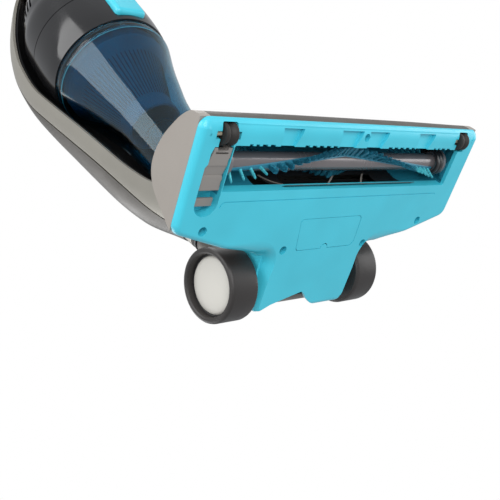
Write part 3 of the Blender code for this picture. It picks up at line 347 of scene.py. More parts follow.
SPINDLE = Finish("spindle_lacquer", (0.170, 0.155, 0.160), 0.24, Grain.POLISHED, metallic=0.35, coat=0.3)
CELL = Finish("green_sleeve", (0.080, 0.250, 0.120), 0.35)
BOARD = Finish("board_green", (0.020, 0.160, 0.060), 0.45)
LENS = ClearPlastic("light_lens", (0.90, 0.93, 0.95), 0.10)
CUP_CLEAR = ClearPlastic("blue_clear", (0.100, 0.430, 0.600), 0.03)
SMOKE_CLEAR = ClearPlastic("smoke_clear", (0.120, 0.300, 0.380), 0.03)
BRISTLES = Nylon("blue_nylon", (0.008, 0.080, 0.150), (0.030, 0.300, 0.420))
CYAN_NYLON = Nylon("cyan_nylon", (0.030, 0.330, 0.420), (0.110, 0.640, 0.700))
FILTER_PAPER = Paper("filter_paper", (0.780, 0.780, 0.740))


# ---- workshop -----------------------------------------------------------------------------
def keep(name: str, bm: bmesh.types.BMesh) -> Object:
    """Turns a bmesh into a linked object.

    Args:
        name: the object's name.
        bm: the mesh, which is freed.

    Returns:
        The object.
    """
    mesh = bpy.data.meshes.new(name)
    bm.to_mesh(mesh)
    bm.free()
    obj = bpy.data.objects.new(name, mesh)
    bpy.context.scene.collection.objects.link(obj)
    return obj


def round_turn(steps: int) -> list[float]:
    """Even angles round a full turn, in radians."""
    return [2 * math.pi * i / steps for i in range(steps)]


def discard(obj: Object) -> None:
    """Removes a helper object."""
    bpy.data.objects.remove(obj, do_unlink=True)


def applied(obj: Object) -> Object:
    """Applies an object's modifiers, or turns a curve into a mesh.

    Args:
        obj: the object.

    Returns:
        The object as a plain mesh, under the same name.
    """
    bpy.context.view_layer.update()
    graph = bpy.context.evaluated_depsgraph_get()
    mesh = bpy.data.meshes.new_from_object(obj.evaluated_get(graph))
    if obj.type == "MESH":
        obj.modifiers.clear()
        obj.data = mesh
        return obj
    name = obj.name
    bm = bmesh.new()
    bm.from_mesh(mesh)
    bmesh.ops.remove_doubles(bm, verts=bm.verts, dist=0.001)
    bmesh.ops.transform(bm, matrix=obj.matrix_world, verts=bm.verts)
    bmesh.ops.recalc_face_normals(bm, faces=bm.faces)
    discard(obj)
    return keep(name, bm)


def block(name: str, low: Point, high: Point) -> Object:
    """A box between two corners."""
    bm = bmesh.new()
    bmesh.ops.create_cube(bm, size=1.0)
    bmesh.ops.scale(bm, vec=[h - l for l, h in zip(low, high)], verts=bm.verts)
    bmesh.ops.translate(bm, vec=[(h + l) / 2 for l, h in zip(low, high)], verts=bm.verts)
    return keep(name, bm)


TURNS = {
    "X": Matrix.Rotation(math.radians(90), 4, "Y"),
    "Y": Matrix.Rotation(math.radians(-90), 4, "X"),
    "Z": Matrix.Identity(4),
}


def pin(name: str, radius: float, start: Point, length: float, axis: str = "Z", steps: int = 48) -> Object:
    """A cylinder from start along an axis."""
    bm = bmesh.new()
    bmesh.ops.create_cone(bm, cap_ends=True, segments=steps, radius1=radius, radius2=radius, depth=length)
    bmesh.ops.translate(bm, vec=(0, 0, length / 2), verts=bm.verts)
    bmesh.ops.transform(bm, matrix=Matrix.Translation(start) @ TURNS[axis], verts=bm.verts)
    return keep(name, bm)


def turned(name: str, profile: Loop, centre: Point = (0, 0, 0), axis: str = "Z", steps: int = 64,
           closed: bool = False) -> Object:
    """A turned piece.

    Args:
        name: the piece's name.
        profile: (radius, height) points, down the outer side.
        centre: where the axis passes.
        axis: the axis it is turned on.
        steps: facets round it.
        closed: whether the profile is a loop, as on a ring.

    Returns:
        The piece.
    """
    bm = bmesh.new()
    rings = []
    for radius, height in profile:
        if radius < 1e-6:
            rings.append([bm.verts.new((0, 0, height))])
        else:
            rings.append([bm.verts.new((radius * math.cos(a), radius * math.sin(a), height))
                          for a in round_turn(steps)])
    pairs = list(zip(rings, rings[1:])) + ([(rings[-1], rings[0])] if closed else [])
    for upper, lower in pairs:
        for i in range(steps):
            j = (i + 1) % steps
            corners = [upper[i % len(upper)], lower[i % len(lower)], lower[j % len(lower)],
                       upper[j % len(upper)]]
            unique = list(dict.fromkeys(corners))
            if len(unique) > 2:
                bm.faces.new(unique)
    bmesh.ops.recalc_face_normals(bm, faces=bm.faces)
    bmesh.ops.transform(bm, matrix=Matrix.Translation(centre) @ TURNS[axis], verts=bm.verts)
    return keep(name, bm)


def skin(bm: bmesh.types.BMesh, rows: Sequence[Sequence[Point]], ring: bool = True,
         flip: bool = False) -> list[list[bmesh.types.BMVert]]:
    """Adds quads through rows of points.

    Args:
        bm: the mesh they are added to.
        rows: rows of points.
        ring: whether each row closes on itself.
        flip: turns the quads round.

    Returns:
        The rows' vertices.
    """
    grid = [[bm.verts.new(p) for p in row] for row in rows]
    count = len(rows[0])
    for low, high in zip(grid, grid[1:]):
        for i in range(count if ring else count - 1):
            j = (i + 1) % count
            quad = (low[i], low[j], high[j], high[i])
            bm.faces.new(quad[::-1] if flip else quad)
    return grid


def lofted(name: str, rows: Sequence[Sequence[Point]]) -> Object:
    """A solid through closed sections, each a ring of points."""
    bm = bmesh.new()
    grid = skin(bm, rows)
    bm.faces.new(grid[0][::-1])
    bm.faces.new(grid[-1])
    bmesh.ops.recalc_face_normals(bm, faces=bm.faces)
    return keep(name, bm)


def walled(name: str, rows: Sequence[Sequence[Point]], wall: float, flip: bool = False) -> Object:
    """An open lofted sheet given a wall towards its inner side.

    Args:
        name: the piece's name.
        rows: rows of points.
        wall: thickness.
        flip: turns the sheet's outer side round.

    Returns:
        The walled piece.
    """
    bm = bmesh.new()
    skin(bm, rows, False, flip)
    obj = keep(name, bm)
    solid = obj.modifiers.new("wall", "SOLIDIFY")
    solid.thickness = wall
    solid.offset = -1
    solid.use_even_offset = True
    return applied(obj)


def plate(name: str, loops: Sequence[Loop], low: float, high: float) -> Object:
    """A flat plate from closed outlines; one inside another is a hole."""
    data = bpy.data.curves.new(name, "CURVE")
    data.dimensions = "2D"
    data.fill_mode = "BOTH"
    data.extrude = (high - low) / 2
    for loop in loops:
        spline = data.splines.new("POLY")
        spline.points.add(len(loop) - 1)
        for point, (x, y) in zip(spline.points, loop):
            point.co = (x, y, 0, 1)
        spline.use_cyclic_u = True
    obj = bpy.data.objects.new(name, data)
    bpy.context.scene.collection.objects.link(obj)
    obj.location.z = (low + high) / 2
    return applied(obj)


def side_plate(name: str, loops: Sequence[Loop], low: float, high: float) -> Object:
    """A plate whose outline is (y, z) and whose thickness runs along X."""
    obj = plate(name, loops, low, high)
    obj.data.transform(Matrix(((0, 0, 1, 0), (1, 0, 0, 0), (0, 1, 0, 0), (0, 0, 0, 1))))
    return obj


def combined(obj: Object, others: Iterable[Object], operation: str) -> Object:
    """Cuts others out of an object or joins them on.

    Args:
        obj: the piece.
        others: the tools, which are removed.
        operation: DIFFERENCE, UNION or INTERSECT.

    Returns:
        The piece.
    """
    for other in others:
        step = obj.modifiers.new("step", "BOOLEAN")
        step.operation = operation
        step.object = other
        step.solver = "EXACT"
        obj = applied(obj)
        discard(other)
    return obj


def cut(obj: Object, *others: Object) -> Object:
    """Cuts tools out of a piece."""
    return combined(obj, others, "DIFFERENCE")


def joined(obj: Object, *others: Object) -> Object:
    """Joins pieces on to a piece."""
    return combined(obj, others, "UNION")


def gathered(name: str, *others: Object) -> Object:
    """Puts separate solids in one object."""
    bm = bmesh.new()
    for other in others:
        bm.from_mesh(other.data)
        discard(other)
    return keep(name, bm)


def rounded(obj: Object, width: float, segments: int, angle: float) -> Object:
    """Puts a bevel on edges sharper than an angle in degrees, without applying it."""
    edge = obj.modifiers.new("rounding", "BEVEL")
    edge.width = width
    edge.segments = segments
    edge.limit_method = "ANGLE"
    edge.angle_limit = math.radians(angle)
    return obj


def softened(obj: Object, width: float, segments: int = 3, angle: float = 32.0) -> Object:
    """Welds an object and rounds its sharp edges.

    Args:
        obj: the piece.
        width: the rounding's width.
        segments: facets across it.
        angle: edges sharper than this are rounded, in degrees.

    Returns:
        The piece.
    """
    weld = obj.modifiers.new("weld", "WELD")
    weld.merge_threshold = 0.001
    rounded(obj, width, segments, angle).modifiers["rounding"].miter_outer = "MITER_ARC"
    return applied(obj)


def arc(cx: float, cy: float, radius: float, start: float, end: float, steps: int = 8) -> list[Flat]:
    """Points on a circle from one angle to another, in degrees."""
    turns = [math.radians(start + (end - start) * i / steps) for i in range(steps + 1)]
    return [(cx + radius * math.cos(a), cy + radius * math.sin(a)) for a in turns]


def mixed(a: float, b: float, t: float) -> float:
    """The value a share t of the way from a to b."""
    return a + (b - a) * t


def eased(t: float) -> float:
    """A smooth step from 0 to 1."""
    t = max(0.0, min(1.0, t))
    return t * t * (3.0 - 2.0 * t)


def curve_through(points: Sequence[Sequence[float]], steps: int = 4) -> list[tuple[float, ...]]:
    """Refines rows of values with a smooth curve through all of them.

    Args:
        points: the values at each station.
        steps: how many steps between two stations.

    Returns:
        The finer stations, ends included.
    """
    fine: list[tuple[float, ...]] = []
    last = len(points) - 1
    for i in range(last):
        p0, p1, p2, p3 = points[max(i - 1, 0)], points[i], points[i + 1], points[min(i + 2, last)]
        for k in range(steps):
            t = k / steps
            fine.append(tuple(
                0.5 * (2 * b + (c - a) * t + (2 * a - 5 * b + 4 * c - d) * t * t
                       + (3 * b - a - 3 * c + d) * t ** 3)
                for a, b, c, d in zip(p0, p1, p2, p3)))
    fine.append(tuple(points[last]))
    return fine


def ring_at(cx: float, cy: float, height: float, rx: float, ry: float | None = None,
            steps: int = 64) -> list[Point]:
    """An ellipse of points at a height."""
    ry = rx if ry is None else ry
    return [(cx + rx * math.cos(a), cy + ry * math.sin(a), height) for a in round_turn(steps)]


def oval_bar(name: str, rows: Sequence[Sequence[float]], steps: int = 64) -> Object:
    """A smooth solid through oval sections, each (v, w, half width, half depth)."""
    return lofted(name, [ring_at(0, v, w, rx, ry, steps) for v, w, rx, ry in curve_through(rows, 5)])


def smooth_path(points: Loop, steps: int = 5) -> list[Flat]:
    """A path refined with a smooth curve."""
    return [(p[0], p[1]) for p in curve_through(points, steps)]


def rearward(path: Loop) -> list[Flat]:
    """The unit way to the rear side at each point of a path in the middle plane."""
    ways = []
    for i in range(len(path)):
        v0, w0 = path[max(i - 1, 0)]
        v1, w1 = path[min(i + 1, len(path) - 1)]
        span = math.hypot(v1 - v0, w1 - w0)
        ways.append(((w1 - w0) / span, -(v1 - v0) / span))
    return ways


def swept(name: str, path: Sequence[Flat], rx: float | Sequence[float], rn: float | Sequence[float],
          steps: int = 40) -> Object:
    """An oval bar along a path in the middle plane.

    Args:
        name: the piece's name.
        path: (v, w) points.
        rx: half width, or one for each point.
        rn: half depth, or one for each point.
        steps: facets round it.

    Returns:
        The bar.
    """
    rows = []
    for i, ((v, w), (nv, nw)) in enumerate(zip(path, rearward(path))):
        half = rx if isinstance(rx, (int, float)) else rx[i]
        deep = rn if isinstance(rn, (int, float)) else rn[i]
        rows.append([(half * math.cos(a), v + nv * deep * math.sin(a), w + nw * deep * math.sin(a))
                     for a in round_turn(steps)])
    return lofted(name, rows)


def beside(path: Sequence[Flat], distance: float) -> list[Flat]:
    """A path in the middle plane moved towards its rear side."""
    return [(v + nv * distance, w + nw * distance) for (v, w), (nv, nw) in zip(path, rearward(path))]


@dataclass(frozen=True)
class Station:
    """A place for one repeated piece: its point, the way it stands and the way it faces."""

    point: Point
    out: Point
    along: Point = (1.0, 0.0, 0.0)
    size: float = 1.0


class Repeater:
    """Copies a template to many stations with a Geometry Nodes tree."""

    def __init__(self, name: str, template: Object, finish: Surface) -> None:
        """Builds the tree.

        Args:
            name: name of the finished piece.
            template: what is copied, standing on Z and facing X; it is removed at the end.
            finish: the finish of every copy.
        """
        self.name = name
        self.template = template
        self.finish = finish
        self.tree = bpy.data.node_groups.new(f"{name}_copies", "GeometryNodeTree")
        self.sockets: dict[str, str] = {}
        self._build()

    def _input(self, name: str, kind: str) -> None:
        """Declares a named input and remembers its identifier."""
        socket = self.tree.interface.new_socket(name=name, in_out="INPUT", socket_type=kind)
        self.sockets[name] = socket.identifier

    def _node(self, kind: str, **settings: str) -> bpy.types.Node:
        """A new node with its settings."""
        node = self.tree.nodes.new(kind)
        for key, value in settings.items():
            setattr(node, key, value)
        return node

    def _attribute(self, name: str, kind: str) -> bpy.types.Node:
        """A node that reads a named attribute."""
        node = self._node("GeometryNodeInputNamedAttribute", data_type=kind)
        node.inputs["Name"].default_value = name
        return node

    def _build(self) -> None:
        """Adds the nodes: instance, turn, wobble, realize, set material."""
        tree = self.tree
        for name, kind in (("Geometry", "Geometry"), ("Size", "Float"), ("Wobble", "Float"), ("Seed", "Int")):
            self._input(name, f"NodeSocket{kind}")
        tree.interface.new_socket(name="Geometry", in_out="OUTPUT", socket_type="NodeSocketGeometry")
        entry, leave = self._node("NodeGroupInput"), self._node("NodeGroupOutput")
        info = self._node("GeometryNodeObjectInfo")
        info.inputs["Object"].default_value = self.template
        stand = self._node("FunctionNodeAlignRotationToVector", axis="Z")
        face = self._node("FunctionNodeAlignRotationToVector", axis="X", pivot_axis="Z")
        spin = self._node("FunctionNodeRandomValue", data_type="FLOAT_VECTOR")
        low = self._node("ShaderNodeVectorMath", operation="SCALE")
        low.inputs[0].default_value = (-1.0, -1.0, -1.0)
        high = self._node("ShaderNodeVectorMath", operation="SCALE")
        high.inputs[0].default_value = (1.0, 1.0, 1.0)
        euler = self._node("FunctionNodeEulerToRotation")
        turn = self._node("FunctionNodeRotateRotation", rotation_space="LOCAL")
        grow = self._node("ShaderNodeMath", operation="MULTIPLY")
        copies = self._node("GeometryNodeInstanceOnPoints")
        real = self._node("GeometryNodeRealizeInstances")
        paint = self._node("GeometryNodeSetMaterial")
        paint.inputs["Material"].default_value = self.finish.material()
        out, along = self._attribute("out", "FLOAT_VECTOR"), self._attribute("along", "FLOAT_VECTOR")
        size = self._attribute("size", "FLOAT")
        for source, leaving, target, entering in (
                (entry, "Geometry", copies, "Points"), (info, "Geometry", copies, "Instance"),
                (out, "Attribute", stand, "Vector"), (stand, "Rotation", face, "Rotation"),
                (along, "Attribute", face, "Vector"), (entry, "Wobble", low, "Scale"),
                (entry, "Wobble", high, "Scale"), (low, "Vector", spin, "Min"),
                (high, "Vector", spin, "Max"), (entry, "Seed", spin, "Seed"),
                (spin, "Value", euler, "Euler"), (face, "Rotation", turn, "Rotation"),
                (euler, "Rotation", turn, "Rotate By"), (turn, "Rotation", copies, "Rotation"),
                (entry, "Size", grow, 0), (size, "Attribute", grow, 1), (grow, "Value", copies, "Scale"),
                (copies, "Instances", real, "Geometry"), (real, "Geometry", paint, "Geometry"),
                (paint, "Geometry", leave, "Geometry")):
            tree.links.new(source.outputs[leaving], target.inputs[entering])

    def make(self, stations: Sequence[Station], wobble: float = 0.0, seed: int = 1) -> Object:
        """Makes all the copies as one plain mesh.

        Args:
            stations: where the copies go.
            wobble: largest random turn about each axis, in radians.
            seed: the random turns' seed.

        Returns:
            The piece.
        """
        mesh = bpy.data.meshes.new(self.name)
        mesh.from_pydata([s.point for s in stations], [], [])
        for key in ("out", "along"):
            layer = mesh.attributes.new(key, "FLOAT_VECTOR", "POINT")
            for i, station in enumerate(stations):
                layer.data[i].vector = getattr(station, key)
        layer = mesh.attributes.new("size", "FLOAT", "POINT")
        for i, station in enumerate(stations):
            layer.data[i].value = station.size
        obj = bpy.data.objects.new(self.name, mesh)
        bpy.context.scene.collection.objects.link(obj)
        step = obj.modifiers.new("copies", "NODES")
        step.node_group = self.tree
        step[self.sockets["Size"]] = 1.0
        step[self.sockets["Wobble"]] = wobble
        step[self.sockets["Seed"]] = seed
        obj = applied(obj)
        discard(self.template)
        return obj


@dataclass
class Assembly:
    """A set of finished pieces that share a workshop frame."""

    place: Matrix = field(default_factory=lambda: HEAD_PLACE.copy())

    def finish(self, obj: Object, finish: Surface, body: str, replaces: Sequence[str] = (), slot: str = "",
               angle: float = 38.0) -> Object:
        """Places, dresses and mounts a piece.

        Args:
            obj: the piece, in workshop millimetres.
            finish: its finish.
            body: the frame's body it rides on.
            replaces: the frame's nodes it stands for.
            slot: the record's material slot for the piece; not used.
            angle: edges sharper than this stay sharp, in degrees.

        Returns:
            The piece.
        """
        obj.data.transform(self.place)
        obj.matrix_world = Matrix.Identity(4)
        obj.data.materials.clear()
        obj.data.materials.append(finish.material())
        for polygon in obj.data.polygons:
            polygon.material_index = 0
        obj.data.shade_smooth()
        obj.data.set_sharp_from_angle(angle=math.radians(angle))
        even = obj.modifiers.new("even_faces", "WEIGHTED_NORMAL")
        even.keep_sharp = True
        obj = applied(obj)
        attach(obj, body)
        if replaces:
            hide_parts(*replaces)
        LOG.info("%s on %s: %d faces", obj.name, body, len(obj.data.polygons))
        return obj


def dress_node(node: str, finish: Surface) -> None:
    """Gives a frame node a finish of this file."""
    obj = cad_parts[node]
    for slot in obj.material_slots:
        slot.material = finish.material()
    if not obj.material_slots:
        obj.data.materials.append(finish.material())


# ---- floor head ---------------------------------------------------------------------------
@dataclass(frozen=True)
class EdgePoint:
    """A point of the sole's outline: how far its edge draws in at the bottom, and how high it rises."""

    x: float
    y: float
    inset: float
    rise: float


@dataclass
class Sole(Assembly):
    """Cyan sole of the head with its mouth, wells, ramps, screws, service panel and axle housing."""

    half: float = 130.0
    front: float = -120.0
    bottom: float = 3.5
    floor: float = 6.0
    parting: float = 8.0
    wall: float = 2.2
    duct_half: float = DUCT_HALF
    duct_rear: float = 14.0
    axle_height: float = 25.0
    mouth: tuple[float, float, float, float] = (-104.5, 110.5, -106.0, -78.5)
    ramps: Sequence[Flat] = ((-70.8, -53.9), (-20.5, -0.2), (5.9, 25.5), (58.3, 76.9))
    screws: Sequence[Flat] = ((-110.0, -54.0), (97.0, -50.0), (-37.8, -35.8), (41.5, -35.0))
    nose_screw: Flat = (3.6, -112.8)
    rear_knee: Flat = (88.0, -39.7)
    roller: Flat = (ROLLER_X, ROLLER_Y)
    roller_radius: float = ROLLER_R
    latch_x: Flat = (-121.5, -104.9)
    latch_y: Flat = (-105.0, -63.4)

    def outline(self) -> list[EdgePoint]:
        """Plan outline from the middle of the nose round the right side to the middle of the rear.

        Returns:
            The points of the right half and then of the left half.
        """
        nose, side = 8.5, 3.6
        low = self.parting - self.bottom
        half: list[EdgePoint] = [EdgePoint(x, self.front, nose, low) for x in range(0, 121, 6)]
        for i, (x, y) in enumerate(arc(self.half - 6, self.front + 6, 6.0, -90, 0, 8)):
            half.append(EdgePoint(x, y, mixed(nose, side, eased(i / 8)), low))
        half += [EdgePoint(self.half, y, side, low) for y in range(-108, -58, 6)]
        half += [EdgePoint(x, y, side, low) for x, y in arc(self.half - 8, -58.5, 8.0, 0, 72, 6)]
        knee_x, knee_y = self.rear_knee
        for x in range(119, 59, -6):
            near = eased((92 - x) / 32)
            if x > knee_x:
                y = mixed(knee_y, -50.9, (x - knee_x) / 36.5)
            else:
                y = mixed(-33.4, knee_y, (x - 59) / (knee_x - 59))
            half.append(EdgePoint(x, y, mixed(side, 10.0, near), mixed(low, 6.0, near)))
        for i, (x, y) in enumerate(arc(self.duct_half + 12, -21.4, 12.0, -90, -180, 8)):
            half.append(EdgePoint(x, y, mixed(10.5, 6.0, i / 8), mixed(6.0, 21.0, eased(i / 8))))
        half += [EdgePoint(self.duct_half, y, 5.5, 21.0) for y in range(-16, 5, 5)]
        for i, (x, y) in enumerate(arc(self.duct_half - 9, self.duct_rear - 9, 9.0, 0, 90, 8)):
            if i:
                half.append(EdgePoint(x, y, mixed(5.5, 4.5, eased(i / 8)), mixed(21.0, 5.0, eased(i / 8))))
        half += [EdgePoint(x, self.duct_rear, 4.5, 5.0) for x in range(31, 0, -6)]
        left = [EdgePoint(-p.x, p.y, p.inset, p.rise) for p in reversed(half) if p.x > 0.01]
        return half + [EdgePoint(0.0, self.duct_rear, 4.5, 5.0)] + left

    def rings(self) -> list[list[Point]]:
        """Levels of the shell from the flat underside, out and up its edge, and down inside.

        Returns:
            The rings, bottom first.
        """
        points = self.outline()
        count = len(points)
        inward = []
        for i, point in enumerate(points):
            before, after = points[i - 1], points[(i + 1) % count]
            tangent = Vector((after.x - before.x, after.y - before.y)).normalized()
            inward.append(Vector((-tangent.y, tangent.x)))

        def ring(out: float, up: float, more: float = 0.0, level: float | None = None) -> list[Point]:
            """One level: out and up run from 0 at the underside to 1 at the top edge."""
            made = []
            for point, way in zip(points, inward):
                drawn = point.inset * (1 - out) + more
                crease = 0.32 * eased((point.rise - 6.5) / 8.0)
                height = self.bottom + point.rise * mixed(up, out, crease) if level is None else level
                made.append((point.x + way.x * drawn, point.y + way.y * drawn, height))
            return made
        made = [ring(0, 0, 0.6)]
        steps = 9
        for i in range(steps + 1):
            a = math.pi / 2 * i / steps
            made.append(ring(math.sin(a), 1 - math.cos(a)))
        made += [ring(1, 1, self.wall), ring(0.86, 0.8, self.wall), ring(0.45, 0, self.wall, self.floor)]
        return made

    def panel_loop(self, shrink: float = 0.0) -> list[Flat]:
        """Outline of the service panel, with a thumb notch in its rear edge."""
        left, right, front, rear = -30.0 + shrink, 29.5 - shrink, -57.5 + shrink, -34.2 - shrink
        return [*arc(left + 2, front + 2, 2, 180, 270, 5), *arc(right - 3, front + 3, 3, 270, 360, 5),
                *arc(right + 1.5 - 5, rear - 5, 5, 0, 90, 6), *arc(1.2, rear, 3.2 + shrink, 0, -180, 8),
                *arc(left + 6.5, rear - 3, 3, 90, 180, 5)]

    def wells(self) -> list[Object]:
        """Cutters for the two roller wells and their pin seats."""
        made = []
        reach = self.roller_radius + 0.6
        for side in (-1, 1):
            x = side * self.roller[0]
            y = self.roller[1]
            well = block("well", (x - 5.4, y - reach, 0), (x + 5.4, y + reach, 2 * self.roller_radius + 0.6))
            made += [softened(well, 1.0, 2),
                     block("seat", (x - 8.6, y - 2.2, 0), (x + 8.6, y + 2.2, 2 * self.roller_radius - 1.0))]
        return made

    def ramp_cutters(self) -> list[Object]:
        """Cutters for the ramps that lead crumbs under the nose into the mouth."""
        made = []
        z = self.bottom
        for left, right in self.ramps:
            y0, y1 = self.front + 3.4, self.mouth[2] + 0.4
            top = [(left, y0, z + 3.3), (right, y0, z + 3.3), (right - 4.9, y1, z + 1.4),
                   (left + 0.6, y1, z + 1.4)]
            low = [(x, y, -1.0) for x, y, _ in top]
            made.append(lofted("ramp", [low, top]))
        return made

    def teeth_cutters(self) -> list[Object]:
        """Cutters for the notched front edge of the mouth, in groups between the ramps."""
        made = []
        for first, last in ((-94, -73), (-50, -23), (29, 55), (80, 102)):
            x = first
            while x < last:
                wide = 2.6 + 1.4 * ((x // 3) % 2)
                made.append(block("tooth", (x, self.mouth[2] - 1.0, 0), (x + wide, self.mouth[2] + 1, 9)))
                x += wide + 2.2
        return made

    def latch_cutter(self) -> Object:
        """Cutter for the latch's slot: open over its travel and round at the rear."""
        x0, x1 = self.latch_x
        y0, y1 = self.latch_y
        radius = (x1 - x0) / 2
        loop = [(x0 + 3.0, y0), (x1, y0), (x1, y1 - radius),
                *arc((x0 + x1) / 2, y1 - radius, radius, 0, 180, 14), (x0, y0 + 12), (x0 + 1.6, y0 + 10),
                (x0 + 1.6, y0 + 4)]
        return plate("slot", [loop], 0.0, 11.4)

    def shell(self) -> Object:
        """The whole cyan shell with every opening cut."""
        body = lofted("sole_shell", self.rings())
        for side in (-1, 1):
            low, high = sorted((side * (self.duct_half - 7.0), side * (self.duct_half - 0.05)))
            loop = [(-32.0, 11.0), (13.4, 11.0), *arc(0, self.axle_height, 19.0, -45, 180, 28), (-26, 31),
                    (-32, 27)]
            cheek = side_plate("cheek", [loop], low, high)
            body = joined(body, softened(cheek, 1.2, 2))
        x0, x1, y0, y1 = self.mouth
        lip = block("lip", (x0 - 14, self.front + 2.0, 5.0), (x1 + 10, y0, self.parting - 0.3))
        rim_rear = block("rim_rear", (x0 + 2, y1, 5.0), (x1 + 2, y1 + 2.2, self.parting + 3.0))
        rim_end = block("rim_end", (x1, y0, 5.0), (x1 + 2.2, y1, self.parting + 5.0))
        bosses = [pin("boss", 4.4, (x, y, 5.0), 8.5) for x, y in self.screws]
        bosses.append(pin("boss", 4.0, (*self.nose_screw, 5.0), 7.5))
        pocket = block("pocket_floor", (self.latch_x[0] - 1.2, -79.5, 5.0),
                       (self.latch_x[1] + 2.0, -62.0, 13.2))
        body = joined(body, lip, rim_rear, rim_end, *bosses, pocket)
        mouth = plate("mouth", [[*arc(x0 + 1, y0 + 1, 1, 180, 270, 3), *arc(x1 - 1, y0 + 1, 1, 270, 360, 3),
                                 *arc(x1 - 1.5, y1 - 1.5, 1.5, 0, 90, 3),
                                 *arc(x0 + 1, y1 - 1, 1, 90, 180, 3)]], -1, 20)
        screws = [pin("hole", 3.0, (x, y, 0), 10.5) for x, y in self.screws]
        screws.append(pin("hole", 2.5, (*self.nose_screw, 0), 10.5))
        body = cut(body, mouth, *self.wells(), *self.ramp_cutters(), *self.teeth_cutters(),
                   self.latch_cutter(), *screws, plate("panel_hole", [self.panel_loop()], 0, 12))
        line_y = y1 + 6.2
        groove = [[*arc(104.0, line_y + 1.0, 1.0, -90, 0, 4), *arc(104.0, line_y + 1.0, 0.4, 0, -90, 4),
                   *arc(-99.0, line_y + 4.0, 3.4, 270, 180, 6), *arc(-99.0, line_y + 4.0, 4.0, 180, 270, 6)]]
        body = cut(body, plate("groove", groove, 0, self.bottom + 0.45))
        notch_loop = [(-43.0, self.duct_rear + 6), (-41.0, 11.0), (-31.6, 6.5), (-18.0, 2.8), (-7.0, 0.0),
                      (-4.6, -0.6), (-1.5, 1.2), (3.0, 6.0), (9.0, 10.4), (15.0, 12.8),
                      (18.5, self.duct_rear + 6)]
        recess = block("side_recess", (self.half - 1.6, -92.0, 0), (self.half + 2, -84.5, self.bottom + 3.0))
        axles = [pin("axle_hole", 3.3, (side * 60 - 40, 0, self.axle_height), 80, "X") for side in (-1, 1)]
        body = cut(body, plate("notch", [notch_loop], 0, 22), recess, *axles)
        return body

    def build(self) -> None:
        """Makes and dresses the sole, its panel and its screws."""
        body = rounded(self.shell(), 0.35, 2, 50)
        self.finish(applied(body), CYAN, "head", ["base_shell"], "cyan", 32)
        panel = plate("service_panel", [self.panel_loop(0.3)], self.bottom + 0.02, self.floor)
        self.finish(softened(panel, 0.45, 2, 50), CYAN, "head", ["access_cover"], "cyan")
        self.finish(self.screw_set(), STEEL, "head", [], "steel")
        strip = block("slot_strip", (-119.7, -73.4, 6.6), (-106.4, -68.4, 8.2))
        self.finish(softened(strip, 0.3, 2), PALE_GREY, "head", [], "warm_grey")
        self.finish(self.floor_under_panel(), CYAN, "head", [], "cyan")

    def floor_under_panel(self) -> Object:
        """Ledge that the service panel rests on."""
        loops = [self.panel_loop(-2.5), self.panel_loop(2.5)]
        return softened(plate("panel_ledge", loops, self.floor + 0.05, self.floor + 1.4), 0.2, 1)

    def screw_set(self) -> Object:
        """Cross-slotted screws at the bottom of their holes."""
        head = turned("screw_template",
                      [(0, 1.0), (1.2, 0.95), (1.9, 0.6), (2.1, 0.0), (2.1, -0.8), (0, -0.8)], steps=20)
        for turn in (0, 90):
            slot = block("slot", (-1.4, -0.28, 0.35), (1.4, 0.28, 2.0))
            slot.data.transform(Matrix.Rotation(math.radians(turn), 4, "Z"))
            head = cut(head, slot)
        spots = [Station((x, y, 9.6), (0, 0, -1), (math.cos(x), math.sin(x), 0)) for x, y in self.screws]
        spots.append(Station((*self.nose_screw, 9.6), (0, 0, -1), (1, 0, 0)))
        return Repeater("sole_screws", head, STEEL).make(spots)


